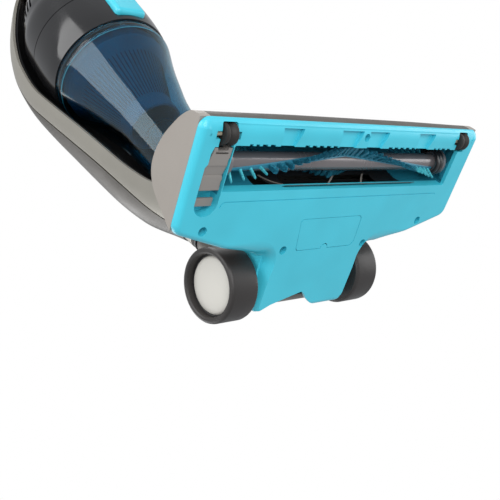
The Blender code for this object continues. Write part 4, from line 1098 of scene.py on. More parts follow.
@dataclass
class TopShell(Assembly):
    """Dark top cover, its light windows and the two warm-grey end caps."""

    reach: float = 122.2
    cap: Flat = (122.5, 129.8)
    duct_half: float = DUCT_HALF
    wall: float = 1.8
    parting: float = 8.3
    rear_corner: Flat = (88.0, -40.2)
    windows: Sequence[float] = (-26.0, 26.0)
    end_profile: Sequence[Flat] = ((-119.4, 6.0), (-120.0, 12.0), (-119.0, 17.0), (-113.6, 23.0),
                                   (-106.0, 28.4), (-98.0, 33.0), (-88.0, 36.2), (-79.0, 36.4), (-72.0, 33.4),
                                   (-66.0, 27.9), (-58.8, 17.0), (-51.8, 6.0))
    middle_profile: Sequence[Flat] = ((-119.4, 6.0), (-120.0, 12.5), (-119.0, 18.5), (-112.0, 26.0),
                                      (-101.0, 33.0), (-88.0, 38.5), (-76.0, 42.0), (-64.0, 44.5),
                                      (-53.0, 45.0), (-43.0, 42.5), (-35.6, 32.0), (-34.0, 6.0))

    def rear_edge(self, x: float) -> float:
        """Rear edge of the tray at x."""
        x = abs(x)
        middle = self.middle_profile[-1][0]
        corner, edge = self.rear_corner
        if x <= self.duct_half:
            return middle
        if x <= corner:
            return mixed(middle, edge, (x - self.duct_half) / (corner - self.duct_half))
        return mixed(edge, self.end_profile[-1][0], (x - corner) / (self.cap[0] - corner))

    def profile(self, x: float) -> list[Flat]:
        """Side profile of the cover at x, front to rear."""
        t = eased((self.reach - abs(x)) / (self.reach - self.duct_half))
        rows = [(mixed(a[0], b[0], t), mixed(a[1], b[1], t))
                for a, b in zip(self.end_profile, self.middle_profile)]
        shift = self.rear_edge(x) - rows[-1][0]
        span = rows[-1][0] - rows[0][0]
        rows = [(y + shift * ((y - rows[0][0]) / span) ** 2, z) for y, z in rows]
        return smooth_path(rows, 4)

    def below(self) -> Object:
        """Cutter for all that is under the parting line."""
        return block("below", (-131, -126, -5), (131, 5, self.parting))

    def wells(self) -> list[Object]:
        """Cutters that clear the rollers."""
        return [block("well", (x - 6.0, -118.6, 0), (x + 6.0, -104.6, 13.2)) for x in (-ROLLER_X, ROLLER_X)]

    def cover(self) -> Object:
        """The moulded cover with its windows and the gap for the neck."""
        xs = [self.reach * math.sin(math.pi / 2 * i / 18) for i in range(-18, 19)]
        rows = [[(x, y, z) for y, z in self.profile(x)] for x in xs]
        cover = walled("top_cover_skin", rows, self.wall, flip=True)
        windows = [softened(block("window", (m - 9, -125, 19.5), (m + 9, -108, 23.5)), 1.2, 3)
                   for m in self.windows]
        gap = block("duct_gap", (-self.duct_half - 0.6, -51, -2), (self.duct_half + 0.6, 6, 38.3))
        cover = cut(cover, *self.wells(), *windows, joined(self.below(), gap))
        return cover

    def seam_shadow(self) -> Object:
        """Fine black bead between the sole and the cover along the nose: a painted shadow in the seam."""
        path = [(x, -118.2, 8.15) for x in range(-118, 119, 4)]
        circle = [(0.9 * math.cos(a), 0.45 * math.sin(a)) for a in round_turn(8)]
        rows = [[(x, y + back, z + up) for back, up in circle] for x, y, z in path]
        return lofted("nose_seam", rows)

    def build(self) -> None:
        """Makes and dresses the cover, lenses and caps."""
        self.finish(self.cover(), DARK_SHELL, "head", ["top_cover"], "dark_grey", 30)
        # Black bead: painted shadow in the seam along the nose.
        self.finish(self.seam_shadow(), BLACK, "head", [], "black")
        lens = block("bar", (-44, -111.5, 18.5), (44, -109.0, 23.2))
        for m in self.windows:
            tip = softened(block("lens", (m - 8.7, -117.4, 19.8), (m + 8.7, -110.5, 23.2)), 1.0, 3)
            lens = joined(lens, tip)
        lens.name = "light_lenses"
        self.finish(lens, LENS, "head", ["light_guide"], "lens")
        fine = smooth_path(self.end_profile)
        for side, word in ((-1, "left"), (1, "right")):
            low, high = sorted((side * self.cap[0], side * self.cap[1]))
            cap = side_plate(f"end_cap_plate_{word}", [fine], low, high)
            cap = softened(cap, 1.7, 4, 60)
            self.finish(cut(cap, self.below()), WARM_GREY, "head", [f"end_cap_{word}"], "warm_grey", 30)


@dataclass
class Brush(Assembly):
    """Spindle with V-shaped rows of tufts."""

    y: float = BRUSH_Y
    z: float = BRUSH_Z
    radius: float = 5.7
    tip_radius: float = 14.1
    half: float = 97.0
    start: float = 198.0
    twist: float = 108.0
    spikes_from: float = 70.0

    def spindle(self) -> Object:
        """Smooth tube with a stepped right end."""
        profile = [(0, 121.4), (2.4, 121.4), (2.4, 108.6), (8.4, 108.6), (9.0, 108.0), (9.0, 105.4),
                   (8.6, 104.8), (7.4, 104.4), (7.4, 100.6), (7.0, 100.0), (self.radius, 99.6),
                   (self.radius, -97.4), (7.0, -98.0), (8.4, -98.2), (8.6, -98.6), (8.6, -100.6),
                   (8.2, -101.0), (2.6, -101.0), (2.6, -114.6), (0, -114.6)]
        return turned("brush_tube", profile, (0, self.y, self.z), "X", 72)

    def end_ring(self) -> Object:
        """Black ringed cap at the driven end."""
        profile = [(9.2, 104.6), (9.7, 104.0), (9.7, 101.6), (9.2, 101.0), (9.2, 100.2), (9.5, 99.8),
                   (9.5, 98.4), (8.8, 97.8), (7.6, 97.8), (7.6, 104.6)]
        return turned("brush_end_ring", profile, (0, self.y, self.z), "X", 72, closed=True)

    def tuft(self, name: str, wide: float, deep: float, flare: float, across: int, along: int,
             length: float) -> Object:
        """A bundle of tapered fibres standing on Z.

        Args:
            name: template's name.
            wide: bundle's width at its root.
            deep: its depth at its root.
            flare: how much wider the tip is.
            across: fibres across its width.
            along: fibres across its depth.
            length: how far it stands out.

        Returns:
            The template.
        """
        draw = random.Random(7)
        bm = bmesh.new()
        for i in range(across):
            for j in range(along):
                u = (i + 0.5) / across - 0.5
                v = (j + 0.5) / along - 0.5
                top = length * (1 - 0.06 * draw.random() - 0.10 * abs(u) * 2)
                base = Vector((u * wide, v * deep, 0))
                tip = Vector((u * wide * flare + 0.15 * (draw.random() - 0.5),
                              v * deep * flare + 0.15 * (draw.random() - 0.5), top))
                thick, thin = 0.62 * wide / across, 0.55 * wide * flare / across
                rings = []
                for centre, size in ((base, thick), (base.lerp(tip, 0.9), thin), (tip, thin * 0.35)):
                    rings.append([bm.verts.new(centre + Vector((size * math.cos(a), size * math.sin(a), 0)))
                                  for a in (math.pi / 4 + math.pi / 2 * k for k in range(4))])
                for low, high in zip(rings, rings[1:]):
                    for k in range(4):
                        bm.faces.new((low[k], low[(k + 1) % 4], high[(k + 1) % 4], high[k]))
                bm.faces.new(rings[-1])
                bm.faces.new(rings[0][::-1])
        return keep(name, bm)

    def stations(self, spikes: bool) -> list[Station]:
        """Where the tufts stand, on two rows.

        Args:
            spikes: True for the thin tufts at the ends, False for the full ones.

        Returns:
            The stations.
        """
        made = []
        for turn in (0.0, 180.0):
            for side in (-1, 1):
                x = 1.6
                while x < self.half + (6.0 if side < 0 else -1.0):
                    share = x / self.half
                    angle = math.radians(self.start + turn + self.twist * share)
                    out = (0.12 * side * share, math.cos(angle), math.sin(angle))
                    point = (side * x, self.y + self.radius * 0.93 * math.cos(angle),
                             self.z + self.radius * 0.93 * math.sin(angle))
                    slope = math.radians(self.twist) / self.half * self.radius * side
                    along = (1.0, -math.sin(angle) * slope * 1.4, math.cos(angle) * slope * 1.4)
                    if (x > self.spikes_from) == spikes:
                        made.append(Station(point, out, along))
                    x += mixed(4.3, 5.4 if side > 0 else 8.2, share)
        return made

    def root_bead(self) -> list[Object]:
        """Low welts that hold the tufts' roots."""
        made = []
        circle = [(1.7 * math.cos(a), 0.8 * math.sin(a)) for a in round_turn(10)]
        for turn in (0.0, 180.0):
            rows: list[list[Vector]] = []
            for i in range(-48, 49):
                x = self.half * i / 48
                angle = math.radians(self.start + turn + self.twist * abs(i) / 48)
                out = Vector((0, math.cos(angle), math.sin(angle)))
                side = Vector((0, -math.sin(angle), math.cos(angle)))
                middle = Vector((x, self.y, self.z)) + out * (self.radius - 0.3)
                rows.append([middle + side * across + out * high for across, high in circle])
            made.append(lofted("welt", rows))
        return made

    def build(self) -> None:
        """Makes and dresses the brush."""
        self.finish(self.spindle(), SPINDLE, "brush", ["brush_spindle"], "spindle")
        self.finish(self.end_ring(), BLACK, "brush", [], "black")
        self.finish(gathered("tuft_welts", *self.root_bead()), DEEP_BLUE, "brush", ["brush_bristles"],
                    "bristle")
        length = self.tip_radius - self.radius * 0.93
        full = self.tuft("full_tuft", 2.2, 2.4, 1.45, 6, 4, length)
        self.finish(Repeater("full_tufts", full, BRISTLES).make(self.stations(False), wobble=0.09, seed=3),
                    BRISTLES, "brush", [], "bristle", 60)
        thin = self.tuft("thin_tuft", 1.5, 1.5, 0.75, 3, 3, length)
        self.finish(Repeater("thin_tufts", thin, CYAN_NYLON).make(self.stations(True), wobble=0.05, seed=5),
                    CYAN_NYLON, "brush", [], "bristle", 60)


@dataclass
class HeadInside(Assembly):
    """What shows behind the brush: ribs in the throat and the frame's own inner pieces."""

    skin: float = 14.75

    def arch(self, degrees: float, radius: float) -> Flat:
        """Point of the tunnel's rear wall, from straight back of the brush."""
        a = math.radians(degrees)
        return BRUSH_Y + radius * math.cos(a), BRUSH_Z + radius * math.sin(a)

    def throat(self) -> Object:
        """Black sheet round the throat's mouth, laid on the tunnel's rear wall and slanting in at its ends:
        painted shade of the dark space behind the brush.
        """
        rows = []
        for degrees in range(-40, 41, 5):
            y, z = self.arch(degrees, self.skin)
            slant = (z - BRUSH_Z) * 0.55
            rows.append([(mixed(-57.0 - slant, 72.0 - slant, i / 24), y, z) for i in range(25)])
        shade_sheet = walled("throat_lining", rows, 0.25)
        return cut(shade_sheet, block("way_through", (-45, -84, 11.5), (45, -60, 22.5)))

    def ribs(self) -> Object:
        """Diagonal ribs across the throat."""
        made = []
        for x, lean in ((-50.0, 13.0), (-2.0, -13.0), (30.0, -10.0)):
            rows = []
            for degrees in range(-38, 31, 4):
                y, z = self.arch(degrees, self.skin - 0.3)
                middle = x - lean * (z - BRUSH_Z) / 9.0
                rows.append([(middle - 0.9, y, z), (middle + 0.9, y, z), (middle + 0.6, y + 0.5, z),
                             (middle - 0.6, y + 0.5, z)])
            made.append(lofted("rib", rows))
        return gathered("throat_ribs", *made)

    def build(self) -> None:
        """Dresses the inner pieces that keep their frame shapes."""
        # Black sheet on the tunnel's rear wall: painted shade of the dark space behind the brush.
        self.finish(self.throat(), BLACK, "head", [], "black")
        self.finish(self.ribs(), WARM_GREY, "head", [], "warm_grey")
        # The brush tunnel takes the darker cyan copy as painted shade.
        for node, finish in (("brush_tunnel", TEAL_AND_SHADED_CYAN), ("suction_throat", BLACK), ("brush_bush", BLACK),
                             ("brush_bearing", STEEL), ("brush_pulley", BLACK), ("motor_pulley", BRASS),
                             ("brush_motor", STEEL), ("drive_belt", RUBBER), ("duct_cover", DARK_SHELL),
                             ("front_roller_left_pin", PLATED), ("front_roller_right_pin", PLATED),
                             ("axle_left", STEEL), ("axle_right", STEEL)):
            dress_node(node, finish)


@dataclass
class Latch(Assembly):
    """Stepped grey slide that frees the brush."""

    x: Flat = (-120.8, -105.4)
    y: Flat = (-104.5, -79.0)
    travel: float = 8.0
    bottom: float = 3.7

    def build(self) -> None:
        """Makes and dresses the latch."""
        x0, x1 = self.x
        y0, y1 = self.y
        z = self.bottom
        prongs = [(x0 + 2.6, y0 + 2.2), (x0 + 2.6, y0), (x0 + 5.0, y0), (x0 + 5.4, y0 + 1.6),
                  (x1 - 3.0, y0 + 1.6), (x1 - 2.6, y0), (x1, y0), (x1, y0 + 5.5), (x1 - 0.8, y0 + 7.0),
                  (x1 - 0.4, y0 + 10.4), (x0 + 0.2, y0 + 10.4), (x0 + 1.6, y0 + 6.5)]
        thumb = plate("latch_slide", [prongs], z, z + 7.6)
        ramp = [[(x0 + 0.3, y, low), (right, y, low), (right, y, high), (x0 + 0.3, y, high)]
                for y, right, low, high in ((y0 + 9.8, x1 - 0.3, z + 0.4, z + 6.4),
                                            (y0 + 17.2, x1 - 1.2, z + 1.6, z + 6.2))]
        step = lofted("step", ramp)
        tail = plate("tail", [[(x0 + 0.3, y0 + 16.4), (x1 - 1.2, y0 + 16.4), (x1 - 0.3, y0 + 19.0),
                               (x1 - 0.9, y0 + 20.6), (x1 - 0.4, y1), (x0 + 0.4, y1)]], z + 0.9, z + 6.2)
        latch = joined(softened(thumb, 0.5, 2), step, softened(tail, 0.5, 2))
        gap = block("slot", (x0 + 4.2, y0 + 2.6, 0), (x1 - 2.2, y0 + 3.6, z + 2.4))
        freed = BRUSH_Y - self.travel
        seats = [pin("seat", 7.9, (x0 - 5, y, BRUSH_Z), 40, "X", 64) for y in (BRUSH_Y, freed)]
        room = block("room", (x0 - 5, freed, 7.8), (x0 + 35, BRUSH_Y, 30))
        latch = cut(latch, gap, *seats, room)
        self.finish(latch, PALE_GREY, "latch", ["brush_latch"], "warm_grey")
        inlay = block("latch_inlay", (x0 + 4.3, y0 + 2.7, z + 1.2), (x1 - 2.3, y0 + 3.5, z + 2.3))
        self.finish(softened(inlay, 0.1, 1), BLACK, "latch", [], "black")


@dataclass
class Rollers(Assembly):
    """Small front rollers shaped like spools."""

    x: float = ROLLER_X
    y: float = ROLLER_Y
    radius: float = ROLLER_R
    half: float = 4.5

    def build(self) -> None:
        """Makes and dresses both rollers."""
        r, h = self.radius, self.half
        for side, word in ((-1, "left"), (1, "right")):
            outer = [(r - 1.1, h), (r - 0.3, h - 0.25), (r, h - 0.9), (r - 0.1, h - 1.7)]
            waist = [(r - 0.1 - 1.5 * math.cos(math.pi / 2 * (k / 4)) ** 2, (h - 1.9) * k / 4)
                     for k in range(3, -4, -1)]
            profile = outer + waist + [(a, -b) for a, b in reversed(outer)]
            profile += [(2.6, -h + 0.1), (2.2, -h + 0.7), (1.55, -h + 0.7), (1.55, h - 0.7), (2.2, h - 0.7),
                        (2.6, h - 0.1)]
            spool = turned(f"roller_spool_{word}", profile, (side * self.x, self.y, self.radius), "X", 56,
                           closed=True)
            self.finish(spool, RUBBER, f"roller_{word}", [f"front_roller_{word}"], "rubber")


@dataclass
class Wheels(Assembly):
    """Rear wheels with soft tyres and pale domed hubs."""

    radius: float = 25.0
    width: float = 23.0
    outer: float = 72.0
    hub: float = 20.4

    def build(self) -> None:
        """Makes and dresses both wheels."""
        r, w, h = self.radius, self.width, self.hub
        for side, word in ((-1, "left"), (1, "right")):
            def at(depth: float) -> float:
                """Distance along the axle of a depth under the outer face."""
                return side * (self.outer - depth)
            tyre = [(h + 0.15, 1.6), (h + 0.5, 0.7), (h + 1.2, 0.15), (h + 2.0, 0.0), (r - 1.7, 0.15),
                    (r - 0.8, 0.6), (r - 0.25, 1.4), (r, 2.6), (r, w / 2), (r, w - 2.6), (r - 0.5, w - 1.0),
                    (r - 1.8, w), (8.0, w), (8.0, w - 4.0), (h, w - 4.0), (h, 6.0)]
            hub = [(0, 2.9), (6.0, 3.0), (12.0, 3.3), (15.5, 3.7), (h - 2.6, 4.3), (h - 1.6, 4.9),
                   (h - 1.1, 5.7), (h - 1.0, 8.0), (7.0, 8.0), (7.0, w - 1), (3.4, w - 1), (3.4, 8.4),
                   (0, 8.4)]
            # Black ring at the bottom of the gap between hub and tyre: painted shade in the gap.
            ring = [(h - 0.15, 5.2), (h - 0.9, 5.4), (h - 0.9, 7.6), (h - 0.15, 7.6)]
            centre = (0, 0, r)
            pieces = ((f"tyre_ring_{word}", tyre, True, TYRE, f"tyre_{word}", "tyre_rubber"),
                      (f"hub_disc_{word}", hub, False, HUB, f"hub_{word}", "hub_white"),
                      (f"hub_gap_{word}", ring, True, BLACK, "", "black"))
            for name, profile, closed, finish, node, slot in pieces:
                points = [(radius, at(depth)) for radius, depth in profile]
                piece = turned(name, points, centre, "X", 96, closed=closed)
                self.finish(piece, finish, f"wheel_{word}", [node] if node else [], slot, 28)


# ---- leaning body -------------------------------------------------------------------------
@dataclass
class BodyAssembly(Assembly):
    """A sub-assembly drawn in the leaning body's frame."""

    place: Matrix = field(default_factory=lambda: BODY_PLACE.copy())


@dataclass
class Neck(BodyAssembly):
    """Knuckle between the wheels and the ring that the body swivels on."""

    barrel: float = 17.5
    half: float = 39.0
    collar_v: float = COLLAR_V
    collar_w: float = COLLAR_W

    def build(self) -> None:
        """Makes and dresses the neck and the swivel ring."""
        ends, v, top = self.half, self.collar_v, self.collar_w - 1.0
        r = self.barrel
        upper = [(0, ends), (r - 1.6, ends), (r - 0.5, ends - 0.5), (r, ends - 1.6), (r, 31.0),
                 (r - 0.5, 30.6), (r - 0.5, 30.0), (r, 29.6)]
        lower = [(radius, -x) for radius, x in reversed(upper)]
        barrel = turned("neck_knuckle", upper + lower, (0, 0, 0), "X", 72)
        stem = [(2.0, 2.0, 30.0, 14.0), (7.5, 18.0, 25.5, 16.0), (14.5, 34.0, 21.5, 17.5),
                (22.0, 50.0, 19.6, 18.8), (v, top - 6, 19.0, 19.0), (v, top, 19.0, 19.0)]
        bore = [(0.0, 0.0, 20.0, 12.0), (6.5, 18.0, 18.0, 12.5), (14.0, 34.0, 16.0, 13.5),
                (22.0, 50.0, 15.0, 14.5), (v, top - 6, 15.0, 15.0), (v, top + 5, 15.0, 15.0)]
        outer, inner = oval_bar("stem", stem), oval_bar("bore", bore)
        neck = joined(barrel, outer)
        sector = [(0.0, 0.0), *arc(0, 0, 30, 140, 270, 13)]
        chamber = pin("chamber", 13.5, (6 - ends, 0, 0), 2 * (ends - 6), "X", 64)
        window = side_plate("window", [sector], 6 - ends, ends - 6)
        neck = cut(neck, inner, chamber, window, pin("axle", 3.3, (-60, 0, 0), 120, "X"))
        self.finish(softened(neck, 0.7, 2, 45), DARK_SHELL, "neck", ["neck"], "dark_grey", 40)
        profile = [(19.6, 5.0), (20.0, 4.6), (20.0, 3.2), (19.5, 2.9), (19.5, 2.5), (20.0, 2.2), (20.0, 0.4),
                   (19.6, 0.0), (15.2, 0.0), (15.2, 5.0)]
        ring = turned("swivel_collar", profile, (0, v, self.collar_w), "Z", 72, closed=True)
        self.finish(ring, BLACK, "neck", ["swivel_ring"], "black")


@dataclass
class Frame(BodyAssembly):
    """Dark rear shell, silver rim that closes in a U under the cup, black liner and the tube's socket."""

    stations: Sequence[tuple[float, ...]] = (
        (88.0, 22.0, 8.0, 36.0, 50.5), (100.0, 24.0, 9.0, 41.5, 57.0), (115.0, 27.0, 17.5, 45.0, 65.5),
        (130.0, 30.3, 26.0, 46.5, 72.3), (155.0, 35.0, 32.5, 48.7, 79.0), (181.0, 39.3, 36.5, 52.0, 83.0),
        (211.0, 44.2, 41.0, 57.0, 86.3), (245.0, 49.3, 47.2, 63.0, 89.5), (272.0, 51.8, 51.5, 68.0, 90.5),
        (298.0, 52.3, 49.0, 68.0, 88.5), (313.0, 51.0, 44.0, 64.0, 85.0), (325.0, 48.5, 39.5, 59.0, 80.5),
        (338.0, 44.0, 34.5, 53.0, 73.5), (356.0, 35.5, 29.0, 44.5, 61.5), (374.0, 24.0, 25.0, 36.5, 50.0),
        (392.0, 16.8, 23.0, 33.0, 45.3))
    square: float = 0.86
    wall: float = 2.2
    gap: float = 0.3
    nose: float = NOSE_W
    collar_v: float = COLLAR_V
    tube_v: float = TUBE_V
    sleeve_r: float = 16.5
    sleeve_w: Flat = (378.0, 428.0)
    socket_w: float = 208.0

    def fine(self, low: float = 0.0, high: float = 1000.0) -> list[tuple[float, ...]]:
        """Smooth stations between two heights."""
        return [s for s in curve_through(self.stations, 5) if low <= s[0] <= high]

    def point(self, station: Sequence[float], angle: float, inset: float) -> Point:
        """Point of the outer surface at an angle from straight back."""
        w, half, front, _, rear = station
        c, s = math.cos(angle), math.sin(angle)
        return ((half - inset) * math.copysign(abs(s) ** self.square, s),
                front + (rear - inset - front) * abs(c) ** self.square, w)

    def rows(self, low: float, high: float, inset: float, count: int,
             stations: Sequence[Sequence[float]]) -> list[list[Point]]:
        """Rows across the surface; 1 is the rim's rear edge and 2 the front edge.

        Args:
            low: first share.
            high: last share.
            inset: how far under the outer surface.
            count: points in a row.
            stations: the heights.

        Returns:
            The rows.
        """
        made = []
        for station in stations:
            _, _, front, band, rear = station
            edge = math.acos(min(0.98, ((band - front) / (rear - front)) ** (1 / self.square)))
            row = []
            for i in range(count):
                t = mixed(low, high, i / (count - 1))
                size = abs(t)
                angle = edge * size if size <= 1 else mixed(edge, math.pi / 2, size - 1)
                row.append(self.point(station, math.copysign(angle, t), inset))
            made.append(row)
        return made

    def foot(self, grow: float = 0.0) -> Object:
        """Silver foot that joins the two sides of the rim round the swivel."""
        rows = [(self.collar_v, 75.4 - grow, 20.6 + grow, 20.6 + grow),
                (27.6, 84.0, 22.4 + grow, 22.4 + grow), (25.0, 94.0, 24.8 + grow, 26.0 + grow),
                (20.0, self.nose - 2.2 + grow, 26.0 + grow, 31.0 + grow)]
        return oval_bar("foot", rows, 96)

    def sleeve(self, grow: float, low: float, length: float) -> Object:
        """Round bar on the tube's axis."""
        return pin("sleeve", self.sleeve_r + grow, (0, self.tube_v, low), length, "Z", 72)

    def shell(self) -> Object:
        """Dark rear shell."""
        shell = walled("rear_shell", self.rows(-0.985, 0.985, 0.0, 41, self.fine()), self.wall)
        low, high = self.sleeve_w
        shell = cut(joined(shell, self.sleeve(0, low, high - low)), self.foot(self.gap))
        shell = cut(shell, pin("tube_seat", 13.75, (0, self.tube_v, low - 5), 60, "Z", 72),
                    softened(block("release_seat", (-6.5, 40, 398), (6.5, 60, 413)), 1.5, 3),
                    pin("socket_seat", 6.7, (0, 66, self.socket_w), 34, "Y", 48),
                    turned("sleeve_line", [(20, 0.4), (self.sleeve_r - 0.5, 0.4), (self.sleeve_r - 0.5, -0.4),
                                           (20, -0.4)],
                           (0, self.tube_v, 424.0), "Z", 72, closed=True))
        return softened(shell, 0.5, 2, 50)

    def rim(self) -> Object:
        """Silver rim up both sides with its foot."""
        rim = self.foot()
        upper = self.fine(99.0)
        for side in (-1, 1):
            rows = self.rows(side * 1.015, side * 2.0, 0.0, 13, upper)
            rim = joined(rim, walled("band", rows, self.wall, side < 0))
        holes = [(self.collar_v, 70.0, 17.0, 17.0), (27.2, 84.0, 18.4, 18.2), (23.0, 94.0, 20.5, 21.0),
                 (17.0, self.nose, 22.5, 24.5)]
        hole = oval_bar("hole", holes, 80)
        return softened(cut(rim, hole, self.sleeve(0.5, self.sleeve_w[0] - 1, 60)), 0.6, 3, 50)

    def build(self) -> None:
        """Makes and dresses the frame's pieces."""
        self.finish(self.shell(), DARK_SHELL, "stick", ["frame_shell"], "dark_grey", 34)
        self.finish(self.rim(), SILVER, "stick", ["frame_rim"], "silver", 34)
        inner = self.rows(-0.93, 0.93, self.wall + self.gap, 33, self.fine(104.5, 374.5))
        liner = walled("liner_skin", inner, 1.4)
        liner = cut(liner, pin("socket_seat", 6.9, (0, 50, self.socket_w), 40, "Y", 48))
        self.finish(liner, BLACK, "stick", ["frame_liner"], "black", 34)
        lips = []
        for side in (-1, 1):
            rows = self.rows(side * 1.72, side * 1.99, self.wall + 0.05, 5, self.fine(112.0, 360.0))
            lips.append(walled("lip", rows, 1.0, side < 0))
        self.finish(gathered("rim_gasket", *lips), BLACK, "stick", [], "black", 34)
        screws = turned("body_screw", [(0, 0.9), (1.6, 0.8), (2.4, 0.3), (2.5, -0.6), (0, -0.6)], steps=20)
        screws = cut(screws, block("slot", (-1.7, -0.3, 0.3), (1.7, 0.3, 2)),
                     block("slot", (-0.3, -1.7, 0.3), (0.3, 1.7, 2)))
        spots = []
        for w, share in ((150.0, 0.55), (262.0, 0.62), (330.0, 0.45)):
            station = min(self.fine(), key=lambda s: abs(s[0] - w))
            for side in (-1, 1):
                edge = self.rows(side * share, side * share + 0.001, 0.0, 2, [station])[0][0]
                ahead = self.rows(side * (share + 0.02), side * share, 0.0, 2, [station])[0][0]
                across = (Vector(ahead) - Vector(edge)).normalized()
                out = Vector((across.y, -across.x, 0)) * side
                if out.y < 0:
                    out = -out
                spots.append(Station(tuple(Vector(edge) + out * 0.1), tuple(out), (0, 0, 1)))
        self.finish(Repeater("frame_screws", screws, STEEL).make(spots), STEEL, "stick", [], "steel")
        for node in ("air_duct", "charging_socket"):
            dress_node(node, BLACK)


@dataclass
class Handle(BodyAssembly):
    """Tube, grip with its pad, power slide and release button."""

    v: float = TUBE_V
    radius: float = TUBE_R
    span: Flat = (384.0, 900.0)
    grip_x: float = 16.5
    grip_n: float = 18.5
    grip_path: Sequence[Flat] = ((29, 876), (29, 900), (30, 925), (33.5, 950), (39.5, 975), (47.5, 1000),
                                 (57, 1022), (61, 1030))

    def fine_path(self) -> list[Flat]:
        """The grip's middle line, refined."""
        return smooth_path(self.grip_path)

    def grip(self) -> Object:
        """Hollow grip with rounded ends, finger waves and its openings."""
        path = self.fine_path()
        count = len(path)
        rx, rn = [], []
        for i in range(count):
            end = min(i, count - 1 - i)
            dip = 1.0 - 0.10 * (1 - min(1.0, end / 3.0)) ** 2
            wave = 0.35 * math.sin(i * 1.25) if 12 < i < count - 6 else 0.0
            rx.append(self.grip_x * dip)
            rn.append(self.grip_n * dip - abs(wave))
        grip = swept("upper_grip", path, rx, rn, 64)
        inner = path[5:-5]
        hollow = swept("hollow", inner, self.grip_x - 3.5, self.grip_n - 3.5, 40)
        low, high = self.span
        seat = pin("seat", self.radius + 0.25, (0, self.v, low), high + 0.3 - low, "Z", 72)
        pad_seat = swept("pad_seat", self.pad_path(), 8.3, 2.1, 40)
        front = self.v - self.grip_n
        slot = softened(block("slot", (-5.5, front - 4, 906), (5.5, front + 2.4, 938)), 1.5, 3)
        return softened(cut(grip, hollow, seat, pad_seat, slot), 0.6, 2, 50)

    def pad_path(self) -> list[Flat]:
        """Middle line of the soft pad on the grip's back."""
        return smooth_path(beside(self.grip_path[2:-1], self.grip_n - 0.6))

    def pad(self) -> Object:
        """Soft pad with cross ribs."""
        path = self.pad_path()
        deep = [1.8 + 0.35 * math.cos(i * math.pi) for i in range(len(path))]
        pad = swept("soft_pad", path, 8.0, deep, 48)
        return cut(pad, block("trim", (-20, 0, 900), (20, 100, 926.3)),
                   block("trim", (-20, 0, 1011.5), (20, 120, 1060)))

    def build(self) -> None:
        """Makes and dresses the handle."""
        low, high = self.span
        r = self.radius
        tube = turned("upper_tube", [(r - 0.3, high), (r, high - 0.3), (r, low + 0.3), (r - 0.3, low),
                                     (r - 1.5, low), (r - 1.5, high)], (0, self.v, 0), "Z", 80, closed=True)
        self.finish(tube, GUNMETAL, "stick", ["handle_tube"], "gunmetal")
        self.finish(self.grip(), DARK_SHELL, "stick", ["handle_grip"], "dark_grey", 34)
        self.finish(self.pad(), RUBBER, "stick", ["grip_pad"], "rubber", 50)
        front = self.v - self.grip_n
        slide = softened(block("slide_button", (-5.0, front - 2.2, 908), (5.0, front + 1.9, 926)), 1.1, 4)
        ribs = [block("rib", (-3.6, front - 2.5, 911.5 + 2.6 * i), (3.6, front - 1.9, 912.5 + 2.6 * i))
                for i in range(5)]
        self.finish(cut(slide, *ribs), CYAN, "power_slide", ["power_slide"], "cyan")
        button = softened(block("release_key", (-6.0, 44.7, 398.5), (6.0, 48.2, 412.5)), 1.2, 4)
        grooves = [block("rib", (-3.5, 47.8, 402.0 + 2.4 * i), (3.5, 49, 402.9 + 2.4 * i)) for i in range(4)]
        self.finish(cut(button, *grooves), WARM_GREY, "release_button", ["release_button"], "warm_grey")


